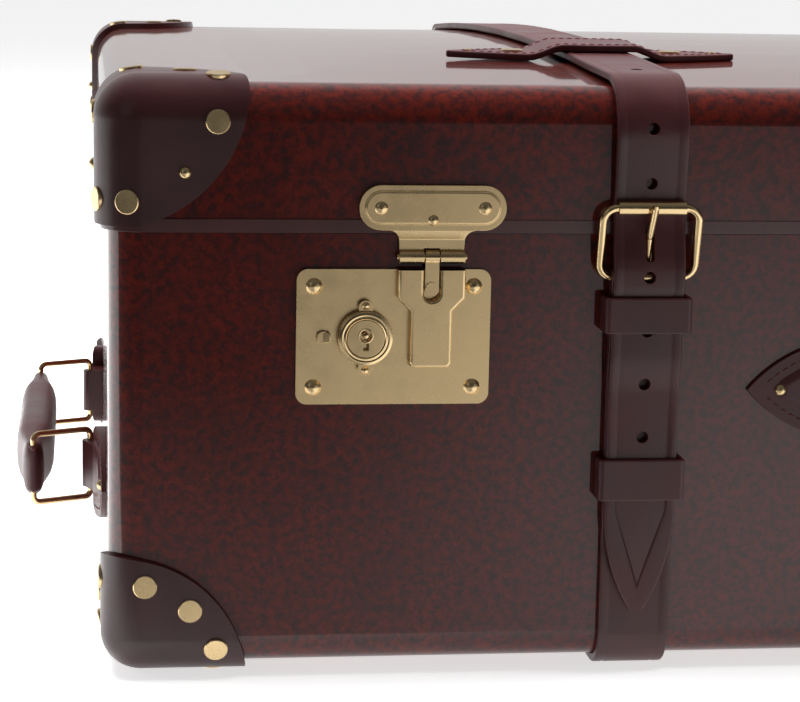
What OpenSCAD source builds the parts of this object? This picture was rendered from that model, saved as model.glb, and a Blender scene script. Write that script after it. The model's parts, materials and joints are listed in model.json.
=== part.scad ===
// Hard suitcase of vulcanised fibre lying on its base: tray base, hinged lid, two belts with
// buckles, two hasp locks, a carrying handle at the front and one on the left end.
// The origin is the middle of the whole outline, on the surface that the feet stand on.

/* [Case] */
// Outside width of the base tray
case_w = 711; // [600:1:820]
// Outside depth of the base tray
case_d = 457; // [400:1:560]
// Height over the shells, without feet and corners
case_h = 205; // [190:1:260]
// Height of the base tray, up to the lid
joint_h = 154; // [148:1:160]
// Radius of the upright corners of the base
plan_r = 12; // [12:0.5:20]
// Radius along the bottom edges of the base
base_edge_r = 11; // [8:0.5:11]
// Radius along the top edges of the lid
lid_edge_r = 13; // [9:0.5:13]
// How far the middle of the lid is crowned
lid_crown = 6.3; // [2:0.1:9]
// Thickness of the fibre sheet
fibre_t = 2.4; // [1.8:0.1:3]
// How far the lid stands proud of the base all round
lid_proud = 2; // [1.6:0.1:3]
// Gap between the closed lid and the base
joint_gap = 0.5; // [0.3:0.1:1]

/* [Rim and inside] */
// Height of the binding band on the lid's lower edge
band_h = 4.6; // [3:0.1:7]
// Thickness of the binding band
band_t = 0.5; // [0.3:0.1:0.8]
// Thickness of the wooden frame inside the base
frame_t = 5; // [3:0.5:8]
// How far the frame reaches down inside the base
frame_below = 22; // [12:1:40]
// How far the frame stands up into the lid
frame_above = 13; // [8:1:18]
// Thickness of the padded lining
lining_t = 1.2; // [0.8:0.1:2]
// Play between the frame and the lining of the lid
lid_play = 0.8; // [0.4:0.1:1]

/* [Leather corners] */
// Thickness of the moulded leather
corner_t = 2.6; // [2:0.1:3.5]
// Reach of the leather over a base corner
base_corner_reach = 45; // [38:0.5:52]
// How far the base corner's arc is centred inwards of the walls
base_corner_inset = 3.4; // [0:0.1:6]
// How far the base corner's arc is centred below the bottom
base_corner_drop = 4.5; // [0:0.1:8]
// Reach of the leather over a lid corner
lid_corner_reach = 50; // [44:0.5:56]
// Rim left free below the leather of the lid
lid_corner_rise = 1.8; // [1:0.1:3]

/* [Rivets] */
// Diameter of the flat corner rivets
rivet_d = 8.4; // [6:0.1:10]
// Height of the flat rivet heads
rivet_t = 0.7; // [0.5:0.1:1.5]
// Height of the rivets that the case stands on
foot_t = 1.4; // [1:0.1:2]
// Radius of the arc of rivets on a base corner
base_rivet_ring = 36; // [32:0.5:38]
// Radius of the arc of rivets on a lid corner
lid_rivet_ring = 41; // [36:0.5:43]
// Diameter of the small domed pins
pin_d = 4.4; // [3:0.1:6]
// Height of the small domed pins
pin_h = 1.6; // [1:0.1:2.2]

/* [Belts] */
// Distance of each belt's middle from the end of the base
belt_end = 186.5; // [171:0.5:205]
// Width of the belts
belt_w = 25.4; // [22:0.1:30]
// Thickness of the belt leather
belt_t = 3; // [2.4:0.1:3.4]
// Gap between the belt and the base
belt_gap = 0.3; // [0.2:0.1:0.6]
// How high the belt stands over the lid where the pointed loop holds it
belt_lift = 0.3; // [0.2:0.1:2]
// Diameter of the punched holes
hole_d = 4.2; // [3:0.1:5]
// Distance between the punched holes
hole_pitch = 19; // [16:0.5:22]
// Depth of the first plain hole below the joint
hole_drop = 14; // [9:0.5:19]
// Height of the point of the belt above the base
tip_h = 20; // [12:1:30]
// Length of the tapered point of the belt
tip_len = 36; // [20:1:40]
// Leather of the belt loops
loop_t = 1.8; // [1.2:0.1:2.4]
// Height of the upper belt loop
loop_a_h = 12.6; // [10:0.1:15]
// Height of the lower belt loop
loop_b_h = 14.8; // [10:0.1:18]
// Depth of the upper belt loop's lower edge below the joint
loop_a_drop = 33.6; // [32:0.1:38]
// Lower edge of the lower belt loop above the base
loop_b_z = 60.4; // [50:0.1:66]
// Inner radius of the belt's bend over the front edge of the lid
lid_belt_r = 18; // [14:0.5:20]

/* [Buckles] */
// Depth of the buckle's lower bar below the joint
bar_drop = 14.5; // [13:0.1:16]
// Distance between the buckle's two bars
buckle_h = 24.7; // [22:0.1:27]
// Width of the buckle between its side bars
buckle_w = 33.8; // [33:0.1:38]
// Diameter of the buckle's wire
wire_d = 2.4; // [2:0.1:2.8]
// Corner radius of the buckle's wire
buckle_r = 5; // [4:0.1:6]
// Diameter of the roller
roller_d = 4.9; // [4.4:0.1:6]
// Length of the roller
roller_len = 23.6; // [18:0.1:24]
// Diameter of the tongue
tongue_d = 2.6; // [2:0.1:3.2]

/* [Lid loops] */
// Length of the pointed loop over the belt on the lid
keeper_len = 117; // [100:1:130]
// Width of the pointed loop at its middle
keeper_w = 34; // [28:0.5:40]
// Thickness of the pointed loop
keeper_t = 2.6; // [1.6:0.1:3]
// Distance of the pointed loop behind the front of the base
keeper_y = 104; // [90:1:200]
// Distance of its rivets from the belt's middle
keeper_rivet_x = 31; // [28:0.5:34]
// Distance of its small pins from the belt's middle
keeper_pin_x = 48; // [44:0.5:51]
// Diameter of its rivets
keeper_rivet_d = 8.6; // [5:0.1:9]

/* [Locks] */
// Distance of each lock plate's middle from the end of the base
lock_end = 98.2; // [94:0.1:110]
// Width of the lock plate
plate_w = 67.6; // [60:0.1:76]
// Height of the lock plate
plate_h = 47.4; // [44:0.1:52]
// Depth of the plate's middle below the joint
plate_drop = 35.8; // [35:0.1:38]
// Thickness of the lock plate
plate_t = 1.6; // [1:0.1:2.2]
// Corner radius of the lock plate
plate_r = 4; // [2:0.5:6]
// Distance of the plate's rivets from its edges
plate_inset = 6; // [5:0.1:8]
// Diameter of the plate's rivets
plate_rivet_d = 5.8; // [4:0.1:7]
// Distance of the key barrel from the middle of the plate
barrel_x = -10; // [-12:0.1:-9]
// Diameter of the barrel's flange
flange_d = 18.7; // [16:0.1:19]
// Diameter of the key cylinder
cylinder_d = 13.3; // [10:0.1:14]
// Travel of the barrel when it is pushed aside
slide_travel = 2.2; // [1:0.1:2.6]
// Distance of the stop lug from the middle of the plate
lug_x = -24.4; // [-26:0.1:-24]
// Middle of the hook housing from the middle of the plate
housing_x = 12.7; // [12:0.1:13.5]
// Width of the upper part of the hook housing
housing_w = 22.8; // [20:0.1:24]
// Width of the lower part of the hook housing
housing_low_w = 13.9; // [12:0.1:16]
// Height of the housing over the lock plate
housing_t = 3.4; // [3:0.1:4.5]
// Width of the slot for the hook
slot_w = 6.1; // [5.6:0.1:7]
// Depth of the slot below the housing's top
slot_len = 11; // [9:0.1:13]

/* [Hasps] */
// Width of the hasp plate on the lid
hasp_w = 51; // [44:0.1:56]
// Height of the hasp plate
hasp_h = 15.6; // [13:0.1:18]
// Thickness of the hasp plate
hasp_t = 1.5; // [1:0.1:2]
// Lower edge of the hasp plate above the joint
hasp_rise = 1.6; // [1:0.1:3]
// Diameter of the hasp's rolled knuckle
knuckle_d = 4.6; // [4:0.1:5.2]
// Depth of the knuckle's middle below the joint
knuckle_drop = 7.6; // [6.5:0.1:8.5]
// Diameter of the hasp pin
hasp_pin_d = 2; // [1.6:0.1:2.4]
// Width of the hook
hook_w = 4.8; // [4:0.1:5.2]
// Length of the hook below its pin
hook_len = 13.4; // [11:0.1:14.5]

/* [Rear hinges] */
// Distance of each hinge's middle from the end of the base
hinge_end = 105.5; // [76:0.5:140]
// Width of a hinge
hinge_w = 56; // [40:1:70]
// Height of each hinge leaf
leaf_h = 20; // [14:1:26]
// Thickness of the hinge leaves
leaf_t = 1.2; // [1:0.1:1.4]
// Distance of the hinge axis behind the base
hinge_out = 6; // [5.8:0.1:7]
// Diameter of the hinge knuckles
hinge_d = 5.2; // [4.6:0.1:5.6]
// Diameter of the hinge pins
hinge_pin_d = 2.4; // [1.8:0.1:3]

/* [Handles] */
// Distance of each ring from the middle of a handle
ring_half = 78; // [70:1:84]
// Height of the carrying handle above the base
front_handle_z = 98.9; // [90:0.1:105]
// Height of the end handle above the base
side_handle_z = 40.5; // [38:0.1:60]
// Length of a chape from the ring to its point
chape_len = 52.5; // [44:0.5:56]
// Length of a chape's pointed part
chape_point = 38; // [30:0.5:40]
// Width of a chape
chape_w = 36; // [32:0.5:40]
// Thickness of a chape
chape_t = 2.2; // [1.6:0.1:3]
// Distance of the ring's inner bar from the wall
ring_out = 6; // [5.4:0.1:7]
// Distance between the ring's two bars
ring_len = 25; // [22:0.5:30]
// Distance between the ring's two arms
ring_w = 28; // [26:0.5:30]
// Diameter of the ring's wire
ring_wire = 2.4; // [2:0.1:3]
// Swing of the rings at rest
ring_swing = 25; // [15:1:35]
// Width of the grip at its middle
grip_w = 25; // [18:0.5:26]
// Thickness of the grip at its middle
grip_t = 15.5; // [12:0.5:18]
// Width of the grip at its ends
grip_neck_w = 21.6; // [18:0.1:21.6]
// Thickness of the grip at its ends
grip_neck_t = 8.4; // [7:0.1:9]

/* [Hidden] */
// Clearance of a shaft in its bore
shaft_play = 0.05;
// Gap between leather and what lies or passes beside it
leather_gap = 0.3;
// Gap between pieces that lie on each other without being fixed
lay_gap = 0.2;
// Gap between metal pieces that move past each other
run_gap = 0.4;
// How far a cutting shape goes past the face it cuts
cut = 1;
// Heights from the surface that the feet stand on
base_z = corner_t + foot_t;
joint_z = base_z + joint_h;
top_z = base_z + case_h;
lid_z = joint_z + joint_gap;
lid_h = top_z - lid_z;
// Lid outside
lid_w = case_w + 2*lid_proud;
lid_d = case_d + 2*lid_proud;
lid_r = plan_r + lid_proud;
lid_lining_t = lid_proud - lid_play;
// Crowned middle of the lid: half its length and depth, and the radii of its two curves
crown_margin = 1;
crown_x = lid_w/2 - lid_corner_reach - crown_margin;
crown_y = lid_d/2 - lid_edge_r - crown_margin;
crown_end_rise = 2.4*lid_crown;
crown_r = (crown_y*crown_y + lid_crown*lid_crown)/(2*lid_crown);
crown_end_r = (crown_x*crown_x + crown_end_rise*crown_end_rise)/(2*crown_end_rise);
// Places that follow the ends of the base
belt_x = case_w/2 - belt_end;
lock_x = case_w/2 - lock_end;
hinge_x = case_w/2 - hinge_end;
// Heights above the base that follow the joint
bar_z = joint_h - bar_drop;
plate_z = joint_h - plate_drop;
loop_a_z = joint_h - loop_a_drop;
hole_high = joint_h - hole_drop;
// Middle of the whole outline, from the pieces that stand out furthest
handle_out = ring_out + ring_len*cos(ring_swing) + grip_t/2;
corner_out = lid_proud + corner_t + rivet_t;
hinge_far = hinge_out + hinge_d/2;
origin_x = (corner_out - handle_out)/2;
origin_y = (hinge_far - handle_out)/2;
// Angles of the rivets on the arc of a corner
base_wall_angles = [19, 46, 75];
base_foot_angles = [20, 45, 70];
lid_wall_angles = [18, 78];
lid_pin_angle = 47;
lid_edge_angle = 75;
// Chamfer of the rivet heads
head_bevel = 0.3;
// Sides of a wall patch that a corner is cut from
patch = 62;
// Distances in front of the base wall
band_out = lid_proud + band_t;
belt_out = band_out + leather_gap;
fold_t = 1.6;
bar_play = 0.15;
bar_out = belt_gap + fold_t + bar_play + wire_d/2;
fold_r = wire_d/2 + bar_play + fold_t;
roller_out = belt_out + belt_t + leather_gap + roller_d/2;
roller_z = bar_z + buckle_h;
buckle_tilt = atan((roller_out - bar_out)/buckle_h);
buckle_side = norm([roller_out - bar_out, buckle_h]);
// Turned end of the base belt, heights above the base
fold_rise = 9.5;
fold_len = 18;
fold_top = bar_z - fold_rise;
fold_low = fold_top - fold_len;
// Where the belt on the lid meets the buckled end
split_rise = 0.2;
split_to_hole = 8;
belt_split = roller_z + split_rise;
lid_hole_low = belt_split + split_to_hole;
// Bends of the belts, and the angle at which the front one is nearest to the lid's edge
lid_bend_in = lid_edge_r + belt_out - lid_proud;
lid_bend_y = case_d/2 + lid_proud - lid_edge_r;
lid_bend_z = top_z - lid_edge_r;
base_bend_in = base_edge_r + belt_gap;
rear_end_gap = 1.5;
belt_near = 125;
lid_bend_lean = (lid_belt_r - lid_bend_in)*[cos(belt_near), sin(belt_near)];
lid_front_bend = [-lid_bend_y, lid_bend_z] - lid_bend_lean;
// Loops round the buckled belt
loop_play = 1;
loop_r = 2;
// Pointed loop on the lid
keeper_seat = 0.05;
keeper_rise = leather_gap + belt_lift + belt_t + leather_gap;
keeper_blunt = 2;
hump_run = 13;
keeper_pin_d = 3;
// Tongue of the buckle, as a bent rod from the bar past the belt to the roller
tongue_rise = 14;
tongue_out = 5.9;
tongue_knee = [tongue_out, bar_z + tongue_rise];
slot_below = 8.2;
slot_above = 4;
tongue_reach = 3.4;
tongue_eye_w = 3.2;
lap = 0.3;
// Locks
bolt_t = 1.6;
bolt_back = 0.3;
bolt_half = 6;
barrel_neck_d = 9;
barrel_h = 3.6;
cylinder_floor = 0.6;
ear_d = 5;
ear_rise = 10.6;
nose_w = 3.4;
nose_h = 3;
nose_z = 14.5;
hook_t = 2.6;
key_hole_d = 4.2;
key_slot_w = 1.6;
key_slot_low = 4;
key_hole_rise = 1;
key_floor = 0.6;
ear_t = 2.2;
shoulder_z = 14;
housing_len = 33.8;
knuckle_z = joint_h - knuckle_drop;
neck_back = 0.8;
pin_out = neck_back + knuckle_d/2;
hasp_fillet = 4;
hasp_rivet_x = 18;
hasp_face_inset = 4;
hasp_face_t = 0.5;
hasp_face_sink = 0.1;
hasp_nub_rise = 3.6;
hasp_pin_past = 0.7;
// Hinges
hinge_knuckle = 14;
hinge_gap = 0.3;
// Handles
loop_w = 19;
loop_outer = 3.2;
chape_hump = 4.4;
ring_bend = 2.6;
deep = 20;
chape_neck = 4;
chape_pin_in = 12;
end_play = 0.35;
$fn = 48;

// Placing

// Moves the case from its own middle to the middle of the whole outline
module in_case() { translate([-origin_x, -origin_y, 0]) children(); }

// Stands a flat drawing on the front wall: x to the right, y up, z outwards
module on_front(x, z, out = 0) {
    translate([x, -case_d/2 - out, base_z + z]) rotate([90, 0, 0]) children();
}

// Stands a flat drawing on the left wall: x to the front, y up, z outwards
module on_left(z) { translate([-case_w/2, 0, base_z + z]) rotate([90, 0, -90]) children(); }

// Gives a side view drawn as [y, z] the width w about x
module side_view(x, w) {
    translate([x - w/2, 0, 0]) rotate([90, 0, 90]) linear_extrude(w) children();
}

// Gives a side view drawn as [distance out of the front wall, height over the base] a width
module front_side_view(x, w) {
    side_view(x, w) translate([-case_d/2, base_z]) mirror([1, 0]) children();
}

module left_and_right() {
    children();
    mirror([1, 0, 0]) children();
}

function along(a, r) = [r*cos(a), r*sin(a)];

function smooth(t) = let (u = min(1, max(0, t))) u*u*(3 - 2*u);

// Round wire bent to a closed rectangle, w by h between the wire's middles, standing on its lower bar
module wire_frame(w, h, r, d) {
    for (s = [-1, 1]) {
        translate([s*w/2, r, 0]) rotate([-90, 0, 0]) cylinder(d = d, h = h - 2*r);
        translate([s*(w/2 - r), r, 0]) rotate([0, 0, s > 0 ? 270 : 180])
            rotate_extrude(angle = 90) translate([r, 0]) circle(d = d);
        translate([s*(w/2 - r), h - r, 0]) rotate([0, 0, s > 0 ? 0 : 90])
            rotate_extrude(angle = 90) translate([r, 0]) circle(d = d);
    }
    for (y = [0, h]) translate([-w/2 + r, y, 0]) rotate([0, 90, 0]) cylinder(d = d, h = w - 2*r);
}

// Shells

// Everything inside the surface that lies o outside a wall and a panel with edge radius r
module inside_profile(o, r, h, leg, past = 0) {
    translate([-leg - past, r]) square([leg + past + o, h - r + past]);
    translate([-leg - past, -o]) square([leg + past - r, r + o]);
    intersection() {
        translate([-r, r]) circle(r + o);
        translate([-leg, -o]) square([leg + o, 2*(r + o)]);
    }
}

module skin_profile(o1, o2, r, h, leg) {
    difference() {
        inside_profile(o2, r, h, leg);
        inside_profile(o1, r, h, leg, cut);
    }
}

// Open tray between two offsets of its outside: w by d outside, plan radius pr, edge radius r
module tray(o1, o2, w, d, pr, r, h) {
    for (a = [0, 90, 180, 270]) {
        across = a % 180 == 0 ? w : d;
        run = (a % 180 == 0 ? d : w) - 2*pr;
        rotate([0, 0, a]) translate([across/2, run/2, 0]) rotate([90, 0, 0])
            linear_extrude(run) skin_profile(o1, o2, r, h, pr);
        rotate([0, 0, a]) translate([across/2 - pr, run/2, 0])
            rotate_extrude(angle = 90) translate([pr, 0]) skin_profile(o1, o2, r, h, pr);
    }
    translate([-w/2 + pr, -d/2 + pr, -o2]) cube([w - 2*pr, d - 2*pr, o2 - o1]);
}

module rounded_plan(w, d, r) {
    square([w - 2*r, d], center = true);
    square([w, d - 2*r], center = true);
    for (x = [-1, 1], y = [-1, 1]) translate([x*(w/2 - r), y*(d/2 - r)]) circle(r);
}

// Upright wall between two offsets of a rounded plan
module ring_wall(o1, o2, w, d, pr, h) {
    linear_extrude(h) difference() {
        rounded_plan(w + 2*o2, d + 2*o2, pr + o2);
        rounded_plan(w + 2*o1, d + 2*o1, pr + o1);
    }
}

module upside_down(z) { translate([0, 0, z]) mirror([0, 0, 1]) children(); }

// Crowned middle of the lid over its flat margin, lift above the lid's outside
module crown(lift) {
    intersection() {
        translate([-crown_x - crown_margin/2, -crown_y - crown_margin/2, top_z + lift - cut])
            cube([2*crown_x + crown_margin, 2*crown_y + crown_margin, lid_crown + 2*cut]);
        translate([-case_w, 0, top_z + lift + lid_crown - crown_r]) rotate([0, 90, 0])
            cylinder(r = crown_r, h = 2*case_w, $fn = 1440);
        translate([0, case_d, top_z + lift + crown_end_rise - crown_end_r]) rotate([90, 0, 0])
            cylinder(r = crown_end_r, h = 2*case_d, $fn = 1440);
    }
}

// Height of the crown at distance y from the lid's middle
function crown_at(y) = sqrt(crown_r*crown_r - y*y) - crown_r + lid_crown;

// Window in the front wall behind a lock, where its bolt runs
module bolt_window() {
    left = barrel_x - bolt_half - slide_travel - run_gap;
    right = housing_x - slot_w/2 + run_gap;
    low = -bolt_half - run_gap;
    high = nose_z + nose_h + run_gap;
    left_and_right() on_front(-lock_x, plate_z, -fibre_t - cut)
        translate([left, low, 0]) cube([right - left, high - low, fibre_t + 2*cut]);
}

module base_shell() {
    color("#5a1f1c") in_case() difference() {
        translate([0, 0, base_z]) tray(-fibre_t, 0, case_w, case_d, plan_r, base_edge_r, joint_h);
        bolt_window();
    }
}

module base_frame() {
    color("#c9a878") in_case() translate([0, 0, joint_z - frame_below])
        ring_wall(-fibre_t - frame_t, -fibre_t, case_w, case_d, plan_r, frame_below + frame_above);
}

module base_lining() {
    color("#b9a58c") in_case() translate([0, 0, base_z])
        tray(-fibre_t - lining_t, -fibre_t, case_w, case_d, plan_r, base_edge_r, joint_h - frame_below);
}

module lid_shell() {
    color("#5a1f1c") in_case() difference() {
        union() {
            upside_down(top_z) tray(-fibre_t, 0, lid_w, lid_d, lid_r, lid_edge_r, lid_h);
            crown(0);
        }
        crown(-fibre_t);
    }
}

module lid_band() {
    color("#4a1414") in_case() translate([0, 0, lid_z])
        ring_wall(0, band_t, lid_w, lid_d, lid_r, band_h);
}

module lid_lining() {
    color("#b9a58c") in_case() difference() {
        union() {
            upside_down(top_z)
                tray(-fibre_t - lid_lining_t, -fibre_t, lid_w, lid_d, lid_r, lid_edge_r, lid_h);
            crown(-fibre_t);
        }
        crown(-fibre_t - lid_lining_t);
    }
}

// Leather corners: the plan corner's middle is the origin, walls face +x and +y, panel below

module corner_sweep(pr) {
    run = patch - pr;
    rotate_extrude(angle = 90) translate([pr, 0]) children();
    translate([pr, 0, 0]) rotate([90, 0, 0]) linear_extrude(run) children();
    rotate([0, 0, 90]) translate([pr, run, 0]) rotate([90, 0, 0]) linear_extrude(run) children();
}

module corner_plate(o1, o2, pr) {
    run = patch - pr;
    translate([-run, -run, -o2]) cube([run, run, o2 - o1]);
}

// Solid that ends at the leather's outer face, to seat the rivets on
module corner_core(pr, r) {
    corner_sweep(pr) inside_profile(corner_t, r, patch, pr);
    corner_plate(-patch, corner_t, pr);
}

module both_walls() {
    children();
    mirror([1, -1, 0]) children();
}

// Spot on the leather's outer face on the wall facing +x, u in from the corner and v up from the panel
module wall_spot(u, v, pr, r) {
    yaw = u < pr ? asin((pr - u)/(pr + corner_t)) : 0;
    tilt = v < r ? asin((r - v)/(r + corner_t)) : 0;
    translate([0, -max(u - pr, 0), 0]) rotate([0, 0, yaw]) translate([pr - r, 0, max(v, r)])
        rotate([0, tilt, 0]) translate([r + corner_t, 0, 0]) rotate([0, 90, 0]) children();
}

// Spot on the panel, u in along the wall facing +x and w in from it
module panel_spot(u, w, pr, r) {
    turn = w < r ? acos((r - w)/(r + corner_t)) : 90;
    translate([pr - r - max(w - r, 0), pr - u, r]) rotate([0, turn, 0])
        translate([r + corner_t, 0, 0]) rotate([0, 90, 0]) children();
}

// Flat rivet head on the leather, reaching a little below the face so that it can be fitted to it
module flat_head(d, h, below = cut) {
    translate([0, 0, -below]) cylinder(d = d, h = below + h - head_bevel);
    translate([0, 0, h - head_bevel]) cylinder(d1 = d, d2 = d - 2*head_bevel, h = head_bevel);
}

// Domed head: a slice of a ball on a face
module dome(d, h) {
    ball = (d*d/4 + h*h)/(2*h);
    intersection() {
        translate([0, 0, h - ball]) sphere(ball);
        cylinder(d = d + cut, h = h);
    }
}

module base_corner_place(a) {
    w = a % 180 == 0 ? case_w : case_d;
    d = a % 180 == 0 ? case_d : case_w;
    rotate([0, 0, a]) translate([w/2 - plan_r, d/2 - plan_r, base_z]) children();
}

module lid_corner_place(a) {
    w = a % 180 == 0 ? lid_w : lid_d;
    d = a % 180 == 0 ? lid_d : lid_w;
    upside_down(top_z) rotate([0, 0, a]) translate([w/2 - lid_r, d/2 - lid_r, 0]) children();
}

module base_corner(a) {
    color("#3a2225") in_case() base_corner_place(a) intersection() {
        union() {
            corner_sweep(plan_r) skin_profile(0, corner_t, base_edge_r, patch, plan_r);
            corner_plate(0, corner_t, plan_r);
        }
        translate([plan_r - base_corner_inset, plan_r - base_corner_inset, -base_corner_drop])
            sphere(base_corner_reach, $fn = 96);
    }
}

module lid_corner_profile() {
    difference() {
        skin_profile(0, corner_t, lid_edge_r, lid_h - lid_corner_rise, lid_r);
        translate([-lid_r, lid_h - band_h]) square([lid_r + band_t, band_h]);
    }
}

module lid_corner(a) {
    color("#3a2225") in_case() lid_corner_place(a) intersection() {
        union() {
            corner_sweep(lid_r) lid_corner_profile();
            corner_plate(0, corner_t, lid_r);
        }
        translate([lid_r, lid_r, 0]) sphere(lid_corner_reach, $fn = 96);
    }
}

module base_corner_front_left() { base_corner(180); }

module base_corner_front_right() { base_corner(270); }

module base_corner_rear_left() { base_corner(90); }

module base_corner_rear_right() { base_corner(0); }

// Upside down, the lid's corners turn the other way round
module lid_corner_front_left() { lid_corner(180); }

module lid_corner_front_right() { lid_corner(270); }

module lid_corner_rear_left() { lid_corner(90); }

module lid_corner_rear_right() { lid_corner(0); }

module base_corner_rivets() {
    color("#c8ab6a") in_case() for (a = [0, 90, 180, 270]) base_corner_place(a) difference() {
        both_walls() for (b = base_wall_angles)
            wall_spot(base_corner_inset + base_rivet_ring*cos(b),
                base_rivet_ring*sin(b) - base_corner_drop, plan_r, base_edge_r)
                flat_head(rivet_d, rivet_t);
        corner_core(plan_r, base_edge_r);
    }
}

module base_feet() {
    color("#c8ab6a") in_case() for (a = [0, 90, 180, 270], b = base_foot_angles)
        base_corner_place(a)
            panel_spot(base_corner_inset + base_rivet_ring*sin(b),
                base_corner_inset + base_rivet_ring*cos(b), plan_r, base_edge_r)
                flat_head(rivet_d, foot_t, 0);
}

module lid_corner_rivets() {
    color("#c8ab6a") in_case() for (a = [0, 90, 180, 270]) lid_corner_place(a) difference() {
        union() {
            both_walls() {
                for (b = lid_wall_angles)
                    wall_spot(lid_rivet_ring*cos(b), lid_rivet_ring*sin(b), lid_r, lid_edge_r)
                        flat_head(rivet_d, rivet_t);
                panel_spot(lid_rivet_ring*sin(lid_edge_angle), lid_rivet_ring*cos(lid_edge_angle),
                    lid_r, lid_edge_r) flat_head(rivet_d, rivet_t);
            }
            panel_spot(lid_rivet_ring*sin(45), lid_rivet_ring*cos(45), lid_r, lid_edge_r)
                flat_head(rivet_d, rivet_t);
        }
        corner_core(lid_r, lid_edge_r);
    }
}

module lid_corner_pins() {
    color("#c8ab6a") in_case() for (a = [0, 90, 180, 270]) lid_corner_place(a) both_walls()
        wall_spot(lid_rivet_ring*cos(lid_pin_angle), lid_rivet_ring*sin(lid_pin_angle),
            lid_r, lid_edge_r) dome(pin_d, pin_h);
}

// Belts, drawn from the side as [y, z]

module bend(c, r1, r2, a1, a2) {
    translate(c) intersection() {
        difference() {
            circle(r2);
            circle(r1);
        }
        polygon([[0, 0], along(a1, 2*r2), along((a1 + a2)/2, 2*r2), along(a2, 2*r2)]);
    }
}

// Slope of a belt that leaves a bend of radius r and stands lift higher after a run
function belt_slope(run, lift, r) = acos(r/norm([run, r + lift])) - atan2(run, r + lift);

// Belt over the lid, t outside its inner face: up the front, over the pointed loop's place, along
// the crown and down the rear
belt_peak = [keeper_y - case_d/2, top_z + crown_at(keeper_y - case_d/2) + leather_gap + belt_lift];
belt_foot = [-case_d/2 - belt_out, base_z + belt_split];
front_reach = norm(belt_foot - lid_front_bend);
front_start = 180 + atan2(lid_front_bend[1] - belt_foot[1], lid_front_bend[0] - belt_foot[0])
    - acos(lid_belt_r/front_reach);
front_slope = belt_slope(belt_peak[0] - lid_front_bend[0],
    belt_peak[1] - lid_front_bend[1] - lid_belt_r, lid_belt_r);
over_crown = lid_edge_r + lid_crown + leather_gap;
rear_in = lid_edge_r + leather_gap;
rear_r = (lid_bend_y*lid_bend_y + over_crown*over_crown - rear_in*rear_in)/(2*(over_crown - rear_in));
rear_middle = [0, lid_bend_z + over_crown - rear_r];
rear_from = atan2(belt_peak[1] - rear_middle[1], belt_peak[0])
    - acos(min(1, rear_r/norm(belt_peak - rear_middle)));
rear_to = atan2(lid_bend_z - rear_middle[1], lid_bend_y);
bend_steps = 14;
arc_steps = 24;
function lid_belt_line(t) = concat(
    [belt_foot - [t, 0]],
    [for (i = [0:bend_steps]) lid_front_bend
        + along(front_start + (90 + front_slope - front_start)*i/bend_steps, lid_belt_r + t)],
    [belt_peak + [0, t]],
    [for (i = [0:arc_steps]) rear_middle + along(rear_from + (rear_to - rear_from)*i/arc_steps, rear_r + t)],
    [for (i = [1:bend_steps]) [lid_bend_y, lid_bend_z] + along(rear_to*(1 - i/bend_steps), rear_in + t)],
    [[lid_bend_y + rear_in + t, lid_bend_z - cut], [case_d/2 + belt_out + t, lid_bend_z - lid_drop],
        [case_d/2 + belt_out + t, joint_z + rear_end_gap]]);
lid_drop = 8;

module lid_belt_side() {
    inside = lid_belt_line(0);
    outside = lid_belt_line(belt_t);
    polygon(concat(inside, [for (i = [len(outside) - 1:-1:0]) outside[i]]));
}

module punch(z) { on_front(0, z, -cut) cylinder(d = hole_d, h = deep); }

module lid_belt() {
    mid_r = lid_belt_r + belt_t/2;
    leg = sqrt(front_reach*front_reach - lid_belt_r*lid_belt_r);
    third = split_to_hole + 2*hole_pitch - leg;
    fourth = third + hole_pitch - (front_start - 90 - front_slope)*PI/180*mid_r;
    difference() {
        side_view(0, belt_w) lid_belt_side();
        for (i = [0, 1]) punch(lid_hole_low + i*hole_pitch);
        translate([0, lid_front_bend[0], lid_front_bend[1]])
            rotate([90 - front_start + third/mid_r*180/PI, 0, 0]) translate([0, 0, lid_belt_r - cut])
            cylinder(d = hole_d, h = belt_t + 2*cut);
        translate([0, lid_front_bend[0], lid_front_bend[1]]) rotate([front_slope, 0, 0])
            translate([0, fourth, lid_belt_r - cut]) cylinder(d = hole_d, h = belt_t + 2*cut);
    }
}

module lid_belt_left() { color("#3d2428") in_case() translate([-belt_x, 0, 0]) lid_belt(); }

module lid_belt_right() { color("#3d2428") in_case() translate([belt_x, 0, 0]) lid_belt(); }

// Turned end round the buckle's bar, as [out, height]
module belt_fold() {
    difference() {
        union() {
            translate([belt_gap, fold_low]) square([belt_t + fold_t, fold_top - fold_low]);
            translate([bar_out, bar_z]) circle(fold_r);
            polygon([[belt_gap, fold_top], [belt_gap + belt_t + fold_t, fold_top],
                [bar_out + fold_r, bar_z], [bar_out - fold_r, bar_z]]);
        }
        translate([bar_out, bar_z]) circle(wire_d/2 + bar_play);
    }
}

module base_belt() {
    flat_y = case_d/2 - base_edge_r;
    difference() {
        union() {
            for (s = [0, 1]) side_view(0, belt_w) mirror([s, 0]) {
                bend([flat_y, base_z + base_edge_r], base_bend_in, base_bend_in + belt_t, 270, 360);
                translate([-cut, base_z - belt_gap - belt_t]) square([flat_y + cut, belt_t]);
            }
            side_view(0, belt_w) translate([case_d/2 + belt_gap, base_z + base_edge_r])
                square([belt_t, joint_h - rear_end_gap - base_edge_r]);
            front_side_view(0, belt_w) translate([belt_gap, base_edge_r])
                square([belt_t, fold_top - base_edge_r]);
            front_side_view(0, belt_w) belt_fold();
        }
        translate([-tongue_eye_w/2 - leather_gap, -case_d/2 - deep/2, base_z + bar_z - fold_r - cut])
            cube([tongue_eye_w + 2*leather_gap, deep/2 + cut, 2*fold_r + 2*cut]);
    }
}

module base_belt_left() { color("#3d2428") in_case() translate([-belt_x, 0, 0]) base_belt(); }

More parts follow.
